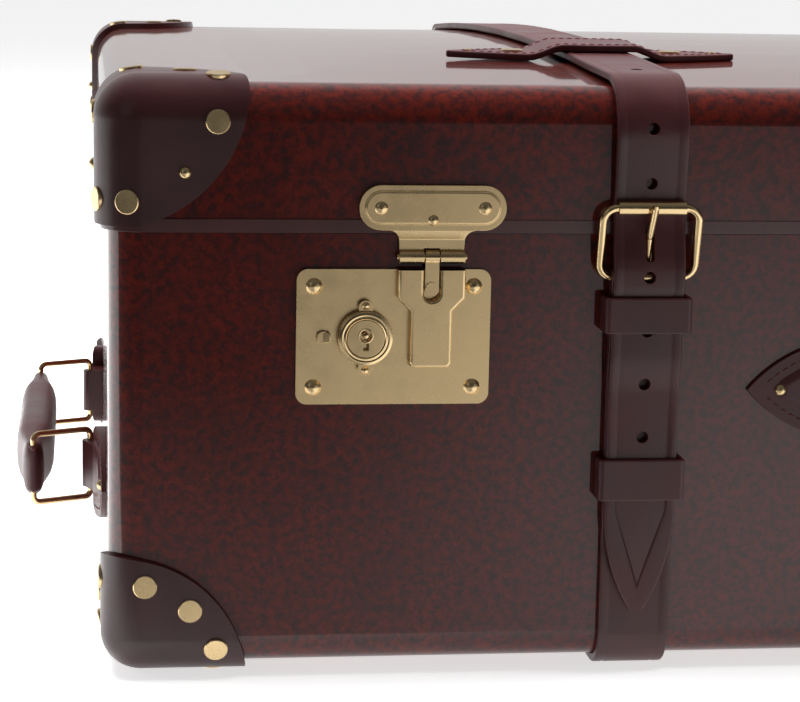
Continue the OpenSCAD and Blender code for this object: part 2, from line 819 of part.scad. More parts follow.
module base_belt_right() { color("#3d2428") in_case() translate([belt_x, 0, 0]) base_belt(); }

// Inner face of the buckled end in front of the wall, at height z above the base
function billet_out(z) =
    let (low = belt_gap + belt_t + lay_gap, mid = low + fold_t, high = bar_out + fold_r + lay_gap)
    z < fold_low ? low + (mid - low)*smooth((z - fold_low + 14)/14)
    : z < bar_z ? mid + (high - mid)*smooth((z - fold_top + 1)/(bar_z - fold_top - 1))
    : belt_out + (high - belt_out)*smooth((billet_flat - z)/(billet_flat - bar_z - 1.5));
billet_flat = joint_h + 9;
billet_top = belt_split - leather_gap;
billet_steps = 64;

module billet_side() {
    heights = [for (i = [0:billet_steps]) tip_h + (billet_top - tip_h)*i/billet_steps];
    polygon(concat([for (z = heights) [billet_out(z), z]],
        [for (i = [billet_steps:-1:0]) [billet_out(heights[i]) + belt_t, heights[i]]]));
}

// Front view of the pointed end, as [x, height]
module billet_front() {
    narrow = belt_w/2 - 2.5;
    arc = (tip_len*tip_len + narrow*narrow)/(2*narrow);
    translate([-belt_w/2, tip_h + tip_len]) square([belt_w, billet_top - tip_h]);
    intersection() {
        translate([belt_w/2 - arc, tip_h + tip_len]) circle(arc, $fn = 96);
        translate([arc - belt_w/2, tip_h + tip_len]) circle(arc, $fn = 96);
        translate([-belt_w/2, tip_h]) square([belt_w, tip_len]);
    }
}

// Slot in the buckled end that the tongue comes through, as [x, height]
module tongue_slot() {
    w = tongue_d + 2*leather_gap;
    low = tongue_knee[1] - slot_below + w/2;
    high = tongue_knee[1] + slot_above - w/2;
    translate([-w/2, low]) square([w, high - low]);
    for (z = [low, high]) translate([0, z]) circle(d = w);
}

// Tongue as two straight lengths of rod that cross at the knee
module tongue_rod() {
    to_roller = [roller_out, roller_z] - tongue_knee;
    off = (roller_d + tongue_d)/2 + lay_gap/2;
    low_lean = atan2(tongue_knee[0] - bar_out, tongue_knee[1] - bar_z);
    high_lean = atan2(to_roller[0], to_roller[1]) + asin(off/norm(to_roller));
    high_len = sqrt(norm(to_roller)^2 - off^2) + tongue_reach;
    on_front(0, bar_z, bar_out) rotate([low_lean - 90, 0, 0])
        cylinder(d = tongue_d, h = norm(tongue_knee - [bar_out, bar_z]) + lap);
    on_front(0, tongue_knee[1], tongue_knee[0]) rotate([high_lean - 90, 0, 0]) rotate_extrude()
        polygon([[0, -lap], [tongue_d/2, -lap], [tongue_d/2, high_len],
            [tongue_d*0.3, high_len + tongue_d*0.4], [0, high_len + tongue_d*0.4]]);
}

module billet() {
    difference() {
        intersection() {
            front_side_view(0, belt_w) billet_side();
            on_front(0, 0, -cut) linear_extrude(deep) billet_front();
        }
        for (i = [0:3]) punch(hole_high - i*hole_pitch);
        on_front(0, 0, -cut) linear_extrude(deep) tongue_slot();
    }
}

module billet_left() { color("#3d2428") in_case() translate([-belt_x, 0, 0]) billet(); }

module billet_right() { color("#3d2428") in_case() translate([belt_x, 0, 0]) billet(); }

// Loop round the belt ends: inner height over the wall and height
module belt_loop(z, h, inner) {
    half = belt_w/2 + loop_play + loop_t;
    out = inner + loop_t;
    translate([0, -case_d/2, base_z + z]) linear_extrude(h) difference() {
        union() {
            translate([-half, -out + loop_r]) square([2*half, out - loop_r - belt_gap]);
            translate([-half + loop_r, -out]) square([2*(half - loop_r), loop_r]);
            for (s = [-1, 1]) translate([s*(half - loop_r), -out + loop_r]) circle(loop_r);
        }
        translate([-half + loop_t, -inner]) square([2*(half - loop_t), inner]);
    }
}

module belt_loops() {
    color("#3d2428") in_case() for (s = [-1, 1]) translate([s*belt_x, 0, 0]) {
        belt_loop(loop_a_z, loop_a_h,
            billet_out(loop_a_z + loop_a_h) + belt_t + lay_gap);
        belt_loop(loop_b_z, loop_b_h, billet_out(loop_b_z) + belt_t + lay_gap);
    }
}

// Buckles

module buckle_frame() {
    on_front(0, bar_z, bar_out) rotate([buckle_tilt, 0, 0])
        wire_frame(buckle_w, buckle_side, buckle_r, wire_d);
}

module buckle_frame_left() { color("#c8ab6a") in_case() translate([-belt_x, 0, 0]) buckle_frame(); }

module buckle_frame_right() { color("#c8ab6a") in_case() translate([belt_x, 0, 0]) buckle_frame(); }

module buckle_roller() {
    on_front(-roller_len/2, roller_z, roller_out) rotate([0, 90, 0]) difference() {
        cylinder(d = roller_d, h = roller_len);
        translate([0, 0, -cut]) cylinder(d = wire_d + 2*shaft_play, h = roller_len + 2*cut);
    }
}

module buckle_roller_left() { color("#c8ab6a") in_case() translate([-belt_x, 0, 0]) buckle_roller(); }

module buckle_roller_right() { color("#c8ab6a") in_case() translate([belt_x, 0, 0]) buckle_roller(); }

module buckle_tongue() {
    difference() {
        union() {
            tongue_rod();
            on_front(-tongue_eye_w/2, bar_z, bar_out) rotate([0, 90, 0])
                cylinder(r = fold_r, h = tongue_eye_w);
        }
        on_front(-tongue_eye_w/2 - cut, bar_z, bar_out) rotate([0, 90, 0])
            cylinder(d = wire_d + 2*shaft_play, h = tongue_eye_w + 2*cut);
    }
}

module buckle_tongue_left() { color("#c8ab6a") in_case() translate([-belt_x, 0, 0]) buckle_tongue(); }

module buckle_tongue_right() { color("#c8ab6a") in_case() translate([belt_x, 0, 0]) buckle_tongue(); }

// Pointed loop on the lid

function hump(x) = keeper_rise*smooth((belt_w/2 + 1 + hump_run - abs(x))/hump_run);

module keeper_outline() {
    arc = (keeper_len*keeper_len/4 + keeper_w*keeper_w/4)/keeper_w;
    intersection() {
        translate([0, arc - keeper_w/2]) circle(arc, $fn = 96);
        translate([0, keeper_w/2 - arc]) circle(arc, $fn = 96);
        square([keeper_len - 2*keeper_blunt, keeper_w], center = true);
    }
}

// Stands a drawing on the lid at the pointed loop's place, level with the crown there
module on_keeper() {
    y = keeper_y - case_d/2;
    translate([0, y, top_z + crown_at(y) + keeper_seat]) rotate([-asin(y/crown_r), 0, 0]) children();
}

module lid_keeper() {
    half = keeper_len/2;
    n = 24;
    xs = [for (i = [-n:n]) i*half/n];
    on_keeper() intersection() {
        translate([0, 0, -cut]) linear_extrude(deep) keeper_outline();
        translate([0, keeper_w/2, 0]) rotate([90, 0, 0])
            linear_extrude(keeper_w) polygon(concat([for (x = xs) [x, hump(x)]],
                [for (i = [2*n:-1:0]) [xs[i], hump(xs[i]) + keeper_t]]));
    }
}

module lid_keeper_left() { color("#3d2428") in_case() translate([-belt_x, 0, 0]) lid_keeper(); }

module lid_keeper_right() { color("#3d2428") in_case() translate([belt_x, 0, 0]) lid_keeper(); }

module lid_keeper_rivets() {
    color("#c8ab6a") in_case() for (b = [-1, 1], s = [-1, 1])
        translate([b*belt_x, 0, 0]) on_keeper() translate([0, 0, keeper_t]) {
            translate([s*keeper_rivet_x, 0, 0]) flat_head(keeper_rivet_d, rivet_t, 0);
            translate([s*keeper_pin_x, 0, 0]) dome(keeper_pin_d, rivet_t);
        }
}

// Locks, drawn on the front wall about the middle of the plate

module in_lock(s) {
    mirror([s > 0 ? 1 : 0, 0, 0]) on_front(-lock_x, plate_z) children();
}

module rounded_rect(w, h, r) {
    square([w - 2*r, h], center = true);
    square([w, h - 2*r], center = true);
    for (x = [-1, 1], y = [-1, 1]) translate([x*(w/2 - r), y*(h/2 - r)]) circle(r);
}

module housing_outline() {
    top = plate_h/2;
    low = top - housing_len;
    step = (housing_w - housing_low_w)/2;
    polygon([[-housing_w/2, top], [-housing_w/2, shoulder_z], [-housing_low_w/2, shoulder_z - step],
        [-housing_low_w/2, low], [housing_low_w/2, low], [housing_low_w/2, shoulder_z - step],
        [housing_w/2, shoulder_z], [housing_w/2, top]]);
}

module slot_outline() {
    low = plate_h/2 - slot_len + slot_w/2;
    translate([-slot_w/2, low]) square([slot_w, slot_len]);
    translate([0, low]) circle(d = slot_w);
}

// Path that a piece of the sliding barrel sweeps, as a flat shape grown by its travel and clearance
module slide_room(x, y, w, h) {
    translate([x - slide_travel - run_gap, y - run_gap])
        square([w + slide_travel + 2*run_gap, h + 2*run_gap]);
}

module lock_plate() {
    nose_x = housing_x - slot_w/2 - nose_w;
    difference() {
        union() {
            linear_extrude(plate_t) rounded_rect(plate_w, plate_h, plate_r);
            translate([housing_x, 0, 0]) linear_extrude(plate_t + housing_t) housing_outline();
            translate([lug_x, 0, 0]) cylinder(d = pin_d, h = plate_t + pin_h);
        }
        translate([housing_x, 0, plate_t]) linear_extrude(housing_t + cut) slot_outline();
        translate([0, 0, -cut]) linear_extrude(plate_t + cut + 2*cut)
            slide_room(nose_x, nose_z, nose_w, nose_h);
        translate([0, 0, -cut]) linear_extrude(plate_t + 2*cut)
            slide_room(barrel_x - barrel_neck_d/2, -barrel_neck_d/2, barrel_neck_d, barrel_neck_d);
    }
}

module lock_plate_left() { color("#cdb377") in_case() in_lock(-1) lock_plate(); }

module lock_plate_right() { color("#cdb377") in_case() in_lock(1) lock_plate(); }

module lock_plate_rivets() {
    color("#c8ab6a") in_case() for (s = [-1, 1], x = [-1, 1], y = [-1, 1]) in_lock(s)
        translate([x*(plate_w/2 - plate_inset), y*(plate_h/2 - plate_inset), plate_t])
            dome(plate_rivet_d, pin_h);
}

// Barrel that is pushed aside, with its flange, ears, bolt plate behind the wall and bolt nose
module lock_barrel() {
    nose_x = housing_x - slot_w/2 - nose_w;
    low = plate_t + lay_gap;
    difference() {
        union() {
            translate([barrel_x, 0, low]) cylinder(d = flange_d, h = barrel_h);
            for (y = [-1, 1]) translate([barrel_x, y*ear_rise, low]) cylinder(d = ear_d, h = ear_t);
            translate([barrel_x, 0, -bolt_back - bolt_t]) cylinder(d = barrel_neck_d, h = bolt_back + bolt_t + low);
            translate([barrel_x - bolt_half, -bolt_half, -bolt_back - bolt_t])
                cube([2*bolt_half, bolt_half + nose_z + nose_h, bolt_t]);
            translate([barrel_x, nose_z, -bolt_back - bolt_t])
                cube([nose_x + nose_w - barrel_x - run_gap/2, nose_h, bolt_t]);
            translate([nose_x + run_gap/2, nose_z, -bolt_back - bolt_t])
                cube([nose_w - run_gap, nose_h, bolt_back + bolt_t + plate_t + cut]);
        }
        translate([barrel_x, 0, low + cylinder_floor])
            cylinder(d = cylinder_d + 2*shaft_play, h = barrel_h);
    }
}

module lock_barrel_left() { color("#c8ab6a") in_case() in_lock(-1) lock_barrel(); }

module lock_barrel_right() { color("#c8ab6a") in_case() in_lock(1) lock_barrel(); }

// Key cylinder with its keyhole
module key_cylinder() {
    low = plate_t + lay_gap + cylinder_floor + lay_gap;
    high = plate_t + lay_gap + barrel_h + lay_gap;
    hole_low_z = low + key_floor;
    translate([barrel_x, 0, 0]) difference() {
        translate([0, 0, low]) cylinder(d = cylinder_d, h = high - low);
        translate([0, key_hole_rise, hole_low_z]) cylinder(d = key_hole_d, h = high);
        translate([-key_slot_w/2, -key_slot_low, hole_low_z])
            cube([key_slot_w, key_slot_low + key_hole_rise, high]);
    }
}

module key_cylinder_left() { color("#bda35f") in_case() in_lock(-1) key_cylinder(); }

module key_cylinder_right() { color("#bda35f") in_case() in_lock(1) key_cylinder(); }

// Hasps, drawn on the front wall about the middle of the hook's slot, heights above the base

module in_hasp(s) {
    mirror([s > 0 ? 1 : 0, 0, 0]) on_front(-lock_x + housing_x, 0) children();
}

module hasp_front() {
    low = joint_h + hasp_rise;
    neck_low = knuckle_z - knuckle_d;
    translate([0, low + hasp_h/2]) rounded_rect(hasp_w, hasp_h, hasp_h/2 - 0.1);
    translate([-housing_w/2, neck_low]) square([housing_w, low - neck_low + hasp_h/2]);
    for (s = [-1, 1]) translate([s*housing_w/2, low]) difference() {
        translate([s < 0 ? -hasp_fillet : 0, -hasp_fillet]) square([hasp_fillet, hasp_fillet + 1]);
        translate([s*hasp_fillet, -hasp_fillet]) circle(hasp_fillet);
    }
}

// Plate on the lid, joggled below its edge and rolled round the pin, as [out, height]
module hasp_side() {
    low = joint_h + joint_gap;
    high = joint_h + hasp_rise + hasp_h;
    polygon([[band_out + hasp_t, high], [band_out + hasp_t, low + 0.8],
        [neck_back + hasp_t, low - 2.2], [neck_back + hasp_t, knuckle_z], [neck_back, knuckle_z],
        [neck_back, low - 1.6], [band_out, low - 0.1], [band_out, low + band_h + 0.1],
        [lid_proud, low + band_h + 0.1], [lid_proud, high]]);
    translate([pin_out, knuckle_z]) circle(d = knuckle_d);
}

module hasp_plate() {
    difference() {
        intersection() {
            linear_extrude(deep) hasp_front();
            translate([-hasp_w/2, 0, 0]) rotate([90, 0, 90]) linear_extrude(hasp_w)
                mirror([1, -1]) hasp_side();
        }
        translate([-hook_w/2 - run_gap, knuckle_z - knuckle_d, 0])
            cube([hook_w + 2*run_gap, knuckle_d + hook_w/2 + run_gap, deep]);
        translate([-hasp_w/2, knuckle_z, pin_out]) rotate([0, 90, 0])
            cylinder(d = hasp_pin_d + 2*shaft_play, h = hasp_w);
    }
    translate([0, joint_h + hasp_rise + hasp_h/2, band_out + hasp_t - hasp_face_sink])
        linear_extrude(hasp_face_t) rounded_rect(hasp_w - hasp_face_inset,
            hasp_h - hasp_face_inset, (hasp_h - hasp_face_inset)/2 - hasp_face_sink);
}

module hasp_plate_left() { color("#cdb377") in_case() in_hasp(-1) hasp_plate(); }

module hasp_plate_right() { color("#cdb377") in_case() in_hasp(1) hasp_plate(); }

module hasp_rivets() {
    color("#c8ab6a") in_case() for (s = [-1, 1]) in_hasp(s) {
        for (x = [-1, 1]) translate([x*hasp_rivet_x, joint_h + hasp_rise + hasp_h/2,
            band_out + hasp_t + hasp_face_t - hasp_face_sink]) dome(pin_d + 0.6, pin_h*0.8);
        translate([0, joint_h + hasp_rise + hasp_nub_rise,
            band_out + hasp_t + hasp_face_t - hasp_face_sink]) dome(pin_d*0.9, pin_h*0.8);
    }
}

module hasp_pins() {
    color("#bda35f") in_case() for (s = [-1, 1]) in_hasp(s)
        translate([-housing_w/2 - hasp_pin_past, knuckle_z, pin_out]) rotate([0, 90, 0])
            cylinder(d = hasp_pin_d, h = housing_w + 2*hasp_pin_past);
}

module hasp_hook() {
    low = knuckle_z - hook_len;
    difference() {
        union() {
            translate([-hook_w/2, knuckle_z, pin_out]) rotate([0, 90, 0]) cylinder(d = hook_w, h = hook_w);
            translate([-hook_w/2, low + hook_w/2, pin_out - hook_t/2 + run_gap/2])
                cube([hook_w, hook_len - hook_w/2, hook_t]);
            translate([0, low + hook_w/2, pin_out - hook_t/2 + run_gap/2]) cylinder(d = hook_w, h = hook_t + 0.6);
        }
        translate([-hook_w, knuckle_z, pin_out]) rotate([0, 90, 0])
            cylinder(d = hasp_pin_d + 2*shaft_play, h = 2*hook_w);
    }
}

module hasp_hook_left() { color("#d6bc80") in_case() in_hasp(-1) hasp_hook(); }

module hasp_hook_right() { color("#d6bc80") in_case() in_hasp(1) hasp_hook(); }

// Rear hinges, drawn from the side as [distance behind the base wall, height over the joint]

module rear_side_view(x, w) {
    side_view(x, w) translate([case_d/2, joint_z]) children();
}

module hinge_bore() {
    translate([-case_w/2, case_d/2 + hinge_out, joint_z]) rotate([0, 90, 0])
        cylinder(d = hinge_pin_d + 2*shaft_play, h = case_w);
}

module hinge_base_leaf() {
    side = (hinge_w - hinge_knuckle)/2 - hinge_gap;
    difference() {
        union() {
            rear_side_view(0, hinge_w) translate([0, -leaf_h - 3]) square([leaf_t, leaf_h]);
            for (s = [-1, 1]) rear_side_view(s*(hinge_w - side)/2, side) {
                translate([hinge_out, 0]) circle(d = hinge_d);
                polygon([[0, -6], [leaf_t, -6], [hinge_out + 1, -2], [hinge_out - 1.5, -1.2], [leaf_t, -3], [0, -3]]);
            }
        }
        hinge_bore();
    }
}

module hinge_lid_leaf() {
    low = joint_gap + band_h + 0.2;
    difference() {
        union() {
            rear_side_view(0, hinge_w) translate([lid_proud, low]) square([leaf_t + band_t, leaf_h - 4]);
            rear_side_view(0, hinge_knuckle) {
                translate([hinge_out, 0]) circle(d = hinge_d);
                polygon([[band_out, low + 0.1], [band_out, 1], [hinge_out - 1, 1],
                    [hinge_out + 1, 2], [band_out + leaf_t, low + 0.1]]);
            }
        }
        hinge_bore();
    }
}

module hinge_base_leaves() {
    color("#bda35f") in_case() for (s = [-1, 1]) translate([s*hinge_x, 0, 0]) hinge_base_leaf();
}

module hinge_lid_leaves() {
    color("#bda35f") in_case() for (s = [-1, 1]) translate([s*hinge_x, 0, 0]) hinge_lid_leaf();
}

module hinge_pins() {
    color("#c8ab6a") in_case() for (s = [-1, 1])
        translate([s*hinge_x - hinge_w/2, case_d/2 + hinge_out, joint_z]) rotate([0, 90, 0])
            cylinder(d = hinge_pin_d, h = hinge_w);
}

// Handles, drawn on a wall: x along the handle, y up, z outwards

module on_wall_front() { on_front(0, front_handle_z) children(); }

module chape_outline() {
    tip = ring_half + chape_len;
    wide = tip - chape_point;
    arc = (chape_point*chape_point + chape_w*chape_w/4)/chape_w;
    intersection() {
        translate([wide, arc - chape_w/2]) circle(arc, $fn = 96);
        translate([wide, chape_w/2 - arc]) circle(arc, $fn = 96);
        translate([wide, -chape_w/2]) square([chape_len, chape_w]);
    }
    translate([wide - chape_neck, -chape_w/2 + chape_neck])
        square([chape_neck + cut, chape_w - 2*chape_neck]);
    for (s = [-1, 1]) translate([wide, s*(chape_w/2 - chape_neck)]) circle(chape_neck);
    translate([ring_half - loop_outer - cut, -loop_w/2])
        square([wide - ring_half + loop_outer + 2*cut, loop_w]);
}

// Side view of a chape, as [x, out]
module chape_side() {
    tip = ring_half + chape_len;
    polygon([[ring_half, 0], [tip, 0], [tip, chape_t*0.8], [tip - 26, chape_t], [ring_half + 12, chape_hump],
        [ring_half + 5, ring_out + 1], [ring_half, ring_out + loop_outer]]);
    translate([ring_half, ring_out]) circle(loop_outer);
    translate([ring_half - loop_outer, 0]) square([loop_outer, ring_out]);
}

module chape() {
    difference() {
        intersection() {
            linear_extrude(deep) chape_outline();
            translate([0, chape_w/2, 0]) rotate([90, 0, 0]) linear_extrude(chape_w) chape_side();
        }
        translate([ring_half, chape_w/2, ring_out]) rotate([90, 0, 0])
            cylinder(d = ring_wire + 2*shaft_play, h = chape_w);
    }
}

module handle_chapes() {
    chape();
    mirror([1, 0, 0]) chape();
}

module handle_ring(s) {
    translate([s*ring_half, 0, ring_out]) rotate([0, ring_swing, 0]) rotate([90, 0, 90])
        wire_frame(ring_w, ring_len, ring_bend, ring_wire);
}

// Half width and half thickness of the grip at x from its middle
grip_end = 5;
grip_fade = 4;
grip_run = 34;
grip_rings = 24;
grip_sides = 20;
function grip_swell(x) = smooth((ring_half - grip_fade - abs(x))/grip_run);
function grip_round(x) = let (t = max(0, abs(x) - ring_half)/grip_end) sqrt(max(0.09, 1 - 0.9*t*t));
function grip_half_w(x) = (grip_neck_w + (grip_w - grip_neck_w)*grip_swell(x))/2*(0.7 + 0.3*grip_round(x));
function grip_half_t(x) = (grip_neck_t + (grip_t - grip_neck_t)*grip_swell(x))/2*grip_round(x);

module grip_body() {
    reach = ring_half + grip_end;
    xs = [for (i = [0:grip_rings]) -reach + 2*reach*i/grip_rings];
    n = grip_sides;
    points = [for (x = xs) for (j = [0:n - 1])
        let (c = cos(360*j/n), s = sin(360*j/n))
        [x, grip_half_w(x)*sign(c)*pow(abs(c), 0.7), grip_half_t(x)*sign(s)*pow(abs(s), 0.7)]];
    sides = [for (i = [0:grip_rings - 1]) for (j = [0:n - 1])
        let (a = i*n + j, b = i*n + (j + 1) % n) [a, b, b + n, a + n]];
    polyhedron(concat(points), concat([[for (j = [0:n - 1]) j]],
        [[for (j = [n - 1:-1:0]) grip_rings*n + j]],
        [for (f = sides) [f[3], f[2], f[1]]], [for (f = sides) [f[3], f[1], f[0]]]));
}

module handle_grip() {
    difference() {
        translate([ring_len*sin(ring_swing), 0, ring_out + ring_len*cos(ring_swing)]) difference() {
            grip_body();
            for (s = [-1, 1]) translate([s*ring_half, chape_w/2, 0]) rotate([90, 0, 0])
                cylinder(r = ring_wire/2 + (s < 0 ? shaft_play : end_play), h = chape_w);
        }
    }
}

module handle_pins() {
    for (s = [-1, 1]) translate([s*(ring_half + chape_len - chape_pin_in), 0, chape_t*0.92]) dome(pin_d, pin_h);
}

module front_handle_chapes() { color("#3d2428") in_case() on_wall_front() handle_chapes(); }

module front_ring_left() { color("#c8ab6a") in_case() on_wall_front() handle_ring(-1); }

module front_ring_right() { color("#c8ab6a") in_case() on_wall_front() handle_ring(1); }

module front_grip() { color("#33201f") in_case() on_wall_front() handle_grip(); }

module side_handle_chapes() { color("#3d2428") in_case() on_left(side_handle_z) handle_chapes(); }

module side_ring_front() { color("#c8ab6a") in_case() on_left(side_handle_z) handle_ring(1); }

module side_ring_rear() { color("#c8ab6a") in_case() on_left(side_handle_z) handle_ring(-1); }

module side_grip() { color("#33201f") in_case() on_left(side_handle_z) handle_grip(); }

module handle_rivets() {
    color("#c8ab6a") in_case() {
        on_wall_front() handle_pins();
        on_left(side_handle_z) handle_pins();
    }
}

base_shell();
base_frame();
base_lining();
base_corner_front_left();
base_corner_front_right();
base_corner_rear_left();
base_corner_rear_right();
base_corner_rivets();
base_feet();
lid_shell();
lid_band();
lid_lining();
lid_corner_front_left();
lid_corner_front_right();
lid_corner_rear_left();
lid_corner_rear_right();
lid_corner_rivets();
lid_corner_pins();
lock_plate_left();
lock_plate_right();
lock_plate_rivets();
lock_barrel_left();
lock_barrel_right();
key_cylinder_left();
key_cylinder_right();
hasp_plate_left();
hasp_plate_right();
hasp_rivets();
hasp_pins();
hasp_hook_left();
hasp_hook_right();
lid_belt_left();
lid_belt_right();
base_belt_left();
base_belt_right();
billet_left();
billet_right();
belt_loops();
buckle_frame_left();
buckle_frame_right();
buckle_roller_left();
buckle_roller_right();
buckle_tongue_left();
buckle_tongue_right();
lid_keeper_left();
lid_keeper_right();
lid_keeper_rivets();
hinge_base_leaves();
hinge_lid_leaves();
hinge_pins();
front_handle_chapes();
front_ring_left();
front_ring_right();
front_grip();
side_handle_chapes();
side_ring_front();
side_ring_rear();
side_grip();
handle_rivets();
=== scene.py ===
import json
import math

import bmesh
import bpy
from bpy.props import FloatProperty, FloatVectorProperty, PointerProperty
from mathutils import Matrix, Vector
from mathutils.bvhtree import BVHTree

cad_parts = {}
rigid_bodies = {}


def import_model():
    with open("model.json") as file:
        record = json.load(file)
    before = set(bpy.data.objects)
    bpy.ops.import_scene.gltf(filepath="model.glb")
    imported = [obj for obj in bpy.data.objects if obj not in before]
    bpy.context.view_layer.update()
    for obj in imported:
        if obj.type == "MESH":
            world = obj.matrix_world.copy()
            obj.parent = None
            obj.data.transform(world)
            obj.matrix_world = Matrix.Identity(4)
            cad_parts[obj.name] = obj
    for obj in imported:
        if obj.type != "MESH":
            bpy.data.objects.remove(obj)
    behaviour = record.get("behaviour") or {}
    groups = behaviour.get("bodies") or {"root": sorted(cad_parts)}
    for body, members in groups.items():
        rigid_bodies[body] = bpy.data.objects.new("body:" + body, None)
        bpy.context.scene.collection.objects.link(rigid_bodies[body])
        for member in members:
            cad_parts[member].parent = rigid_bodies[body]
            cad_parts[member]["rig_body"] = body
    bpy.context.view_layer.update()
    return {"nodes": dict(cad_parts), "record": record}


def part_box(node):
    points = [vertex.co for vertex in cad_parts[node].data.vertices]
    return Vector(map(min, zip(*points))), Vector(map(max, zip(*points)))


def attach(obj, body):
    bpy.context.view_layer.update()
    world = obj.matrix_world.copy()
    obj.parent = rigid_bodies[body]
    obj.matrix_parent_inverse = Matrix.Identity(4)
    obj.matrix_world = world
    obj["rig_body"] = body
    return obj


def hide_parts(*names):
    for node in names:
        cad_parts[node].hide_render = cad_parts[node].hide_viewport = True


bl_info = {
    "name": "Fibre Suitcase",
    "version": (1, 0, 0),
    "blender": (4, 5, 0),
    "location": "View3D > Sidebar > Suitcase",
    "description": "Leather, brass and fibre finish for a packed suitcase model",
    "category": "Object",
}

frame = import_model()
NODES = frame["nodes"]
MM = 0.001

BASE_LOW, BASE_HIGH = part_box("base_shell")
LID_LOW, LID_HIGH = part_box("lid_shell")
MIDDLE = (BASE_LOW + BASE_HIGH) / 2
HEART = (BASE_LOW + LID_HIGH) / 2
SIDES = ("left", "right")
RIGHT, REAR, UP = Vector((1, 0, 0)), Vector((0, 1, 0)), Vector((0, 0, 1))


# Sizes and colours


class SuitcaseLook(bpy.types.PropertyGroup):
    fibre_red: FloatVectorProperty(
        name="Fibre red", description="Red of the fibre sheet", subtype="COLOR",
        size=3, min=0, max=1, default=(0.150, 0.0120, 0.0052))
    fibre_dark: FloatVectorProperty(
        name="Fibre dark", description="Dark specks of the fibre sheet", subtype="COLOR",
        size=3, min=0, max=1, default=(0.020, 0.0068, 0.0072))
    leather: FloatVectorProperty(
        name="Leather", description="Colour of belts and corners", subtype="COLOR",
        size=3, min=0, max=1, default=(0.066, 0.0155, 0.0170))
    raw_leather: FloatVectorProperty(
        name="Raw leather", description="Rims of the punched holes", subtype="COLOR",
        size=3, min=0, max=1, default=(0.16, 0.028, 0.015))
    band: FloatVectorProperty(
        name="Binding", description="Binding on the lid's lower edge", subtype="COLOR",
        size=3, min=0, max=1, default=(0.060, 0.014, 0.013))
    brass: FloatVectorProperty(
        name="Brass", description="Colour of the metal fittings", subtype="COLOR",
        size=3, min=0, max=1, default=(0.77, 0.57, 0.305))
    thread: FloatVectorProperty(
        name="Thread", description="Colour of the stitching", subtype="COLOR",
        size=3, min=0, max=1, default=(0.11, 0.018, 0.018))
    speck: FloatProperty(
        name="Speck size", description="Distance between the fibre's dark specks",
        default=2.9 * MM, min=1 * MM, max=20 * MM, subtype="DISTANCE", unit="LENGTH")


class SuitcaseSizes(bpy.types.PropertyGroup):
    stitch: FloatProperty(
        name="Stitch", description="Distance from stitch to stitch",
        default=3.3 * MM, min=2 * MM, max=6 * MM, subtype="DISTANCE", unit="LENGTH")
    crease: FloatProperty(
        name="Crease", description="Distance of the belt's crease from its edge",
        default=3.8 * MM, min=2 * MM, max=6 * MM, subtype="DISTANCE", unit="LENGTH")
    metal_edge: FloatProperty(
        name="Metal edge", description="Rounding of the metal edges",
        default=0.45 * MM, min=0.1 * MM, max=1 * MM, subtype="DISTANCE", unit="LENGTH")
    leather_edge: FloatProperty(
        name="Leather edge", description="Rounding of the leather edges",
        default=0.9 * MM, min=0.2 * MM, max=1.2 * MM, subtype="DISTANCE", unit="LENGTH")


def look():
    return bpy.context.scene.suitcase_look


def sizes():
    return bpy.context.scene.suitcase_sizes


# Materials


FINISHES = {}


def new_material(name, roughness, metallic=0.0, coat=0.0, coat_roughness=0.05, specular=0.5):
    """A finish of this script by its name, made on the first call and shared after it."""
    if name in FINISHES:
        return FINISHES[name], None, None
    material = FINISHES[name] = bpy.data.materials.new(name)
    material.use_nodes = True
    tree = material.node_tree
    shader = tree.nodes["Principled BSDF"]
    shader.inputs["Roughness"].default_value = roughness
    shader.inputs["Metallic"].default_value = metallic
    shader.inputs["Coat Weight"].default_value = coat
    shader.inputs["Coat Roughness"].default_value = coat_roughness
    shader.inputs["Specular IOR Level"].default_value = specular
    return material, tree, shader


def link(tree, source, output, target, socket):
    tree.links.new(source.outputs[output], target.inputs[socket])


def object_place(tree, scale=(1, 1, 1)):
    place = tree.nodes.new("ShaderNodeTexCoord")
    mapping = tree.nodes.new("ShaderNodeMapping")
    mapping.inputs["Scale"].default_value = scale
    link(tree, place, "Object", mapping, "Vector")
    return mapping


def noise(tree, place, spacing, detail=3.0, roughness=0.55, distortion=0.0):
    node = tree.nodes.new("ShaderNodeTexNoise")
    node.inputs["Scale"].default_value = 1 / spacing
    node.inputs["Detail"].default_value = detail
    node.inputs["Roughness"].default_value = roughness
    node.inputs["Distortion"].default_value = distortion
    link(tree, place, "Vector", node, "Vector")
    return node


def ramp(tree, source, stops, output="Fac"):
    node = tree.nodes.new("ShaderNodeValToRGB")
    elements = node.color_ramp.elements
    while len(elements) < len(stops):
        elements.new(0.5)
    for element, (position, value) in zip(elements, stops):
        element.position = position
        colour = value if hasattr(value, "__len__") else (value, value, value)
        element.color = (*colour, 1)
    link(tree, source, output, node, "Fac")
    return node


def mix(tree, factor, first, second, mode="MIX", amount=None):
    node = tree.nodes.new("ShaderNodeMix")
    node.data_type = "RGBA"
    node.blend_type = mode
    if factor is None:
        node.inputs["Factor"].default_value = amount
    else:
        tree.links.new(factor, node.inputs["Factor"])
    for socket, value in (("A", first), ("B", second)):
        target = [s for s in node.inputs if s.name == socket and s.type == "RGBA"][0]
        if hasattr(value, "is_output"):
            tree.links.new(value, target)
        else:
            target.default_value = (*value, 1)
    return [s for s in node.outputs if s.type == "RGBA"][0]


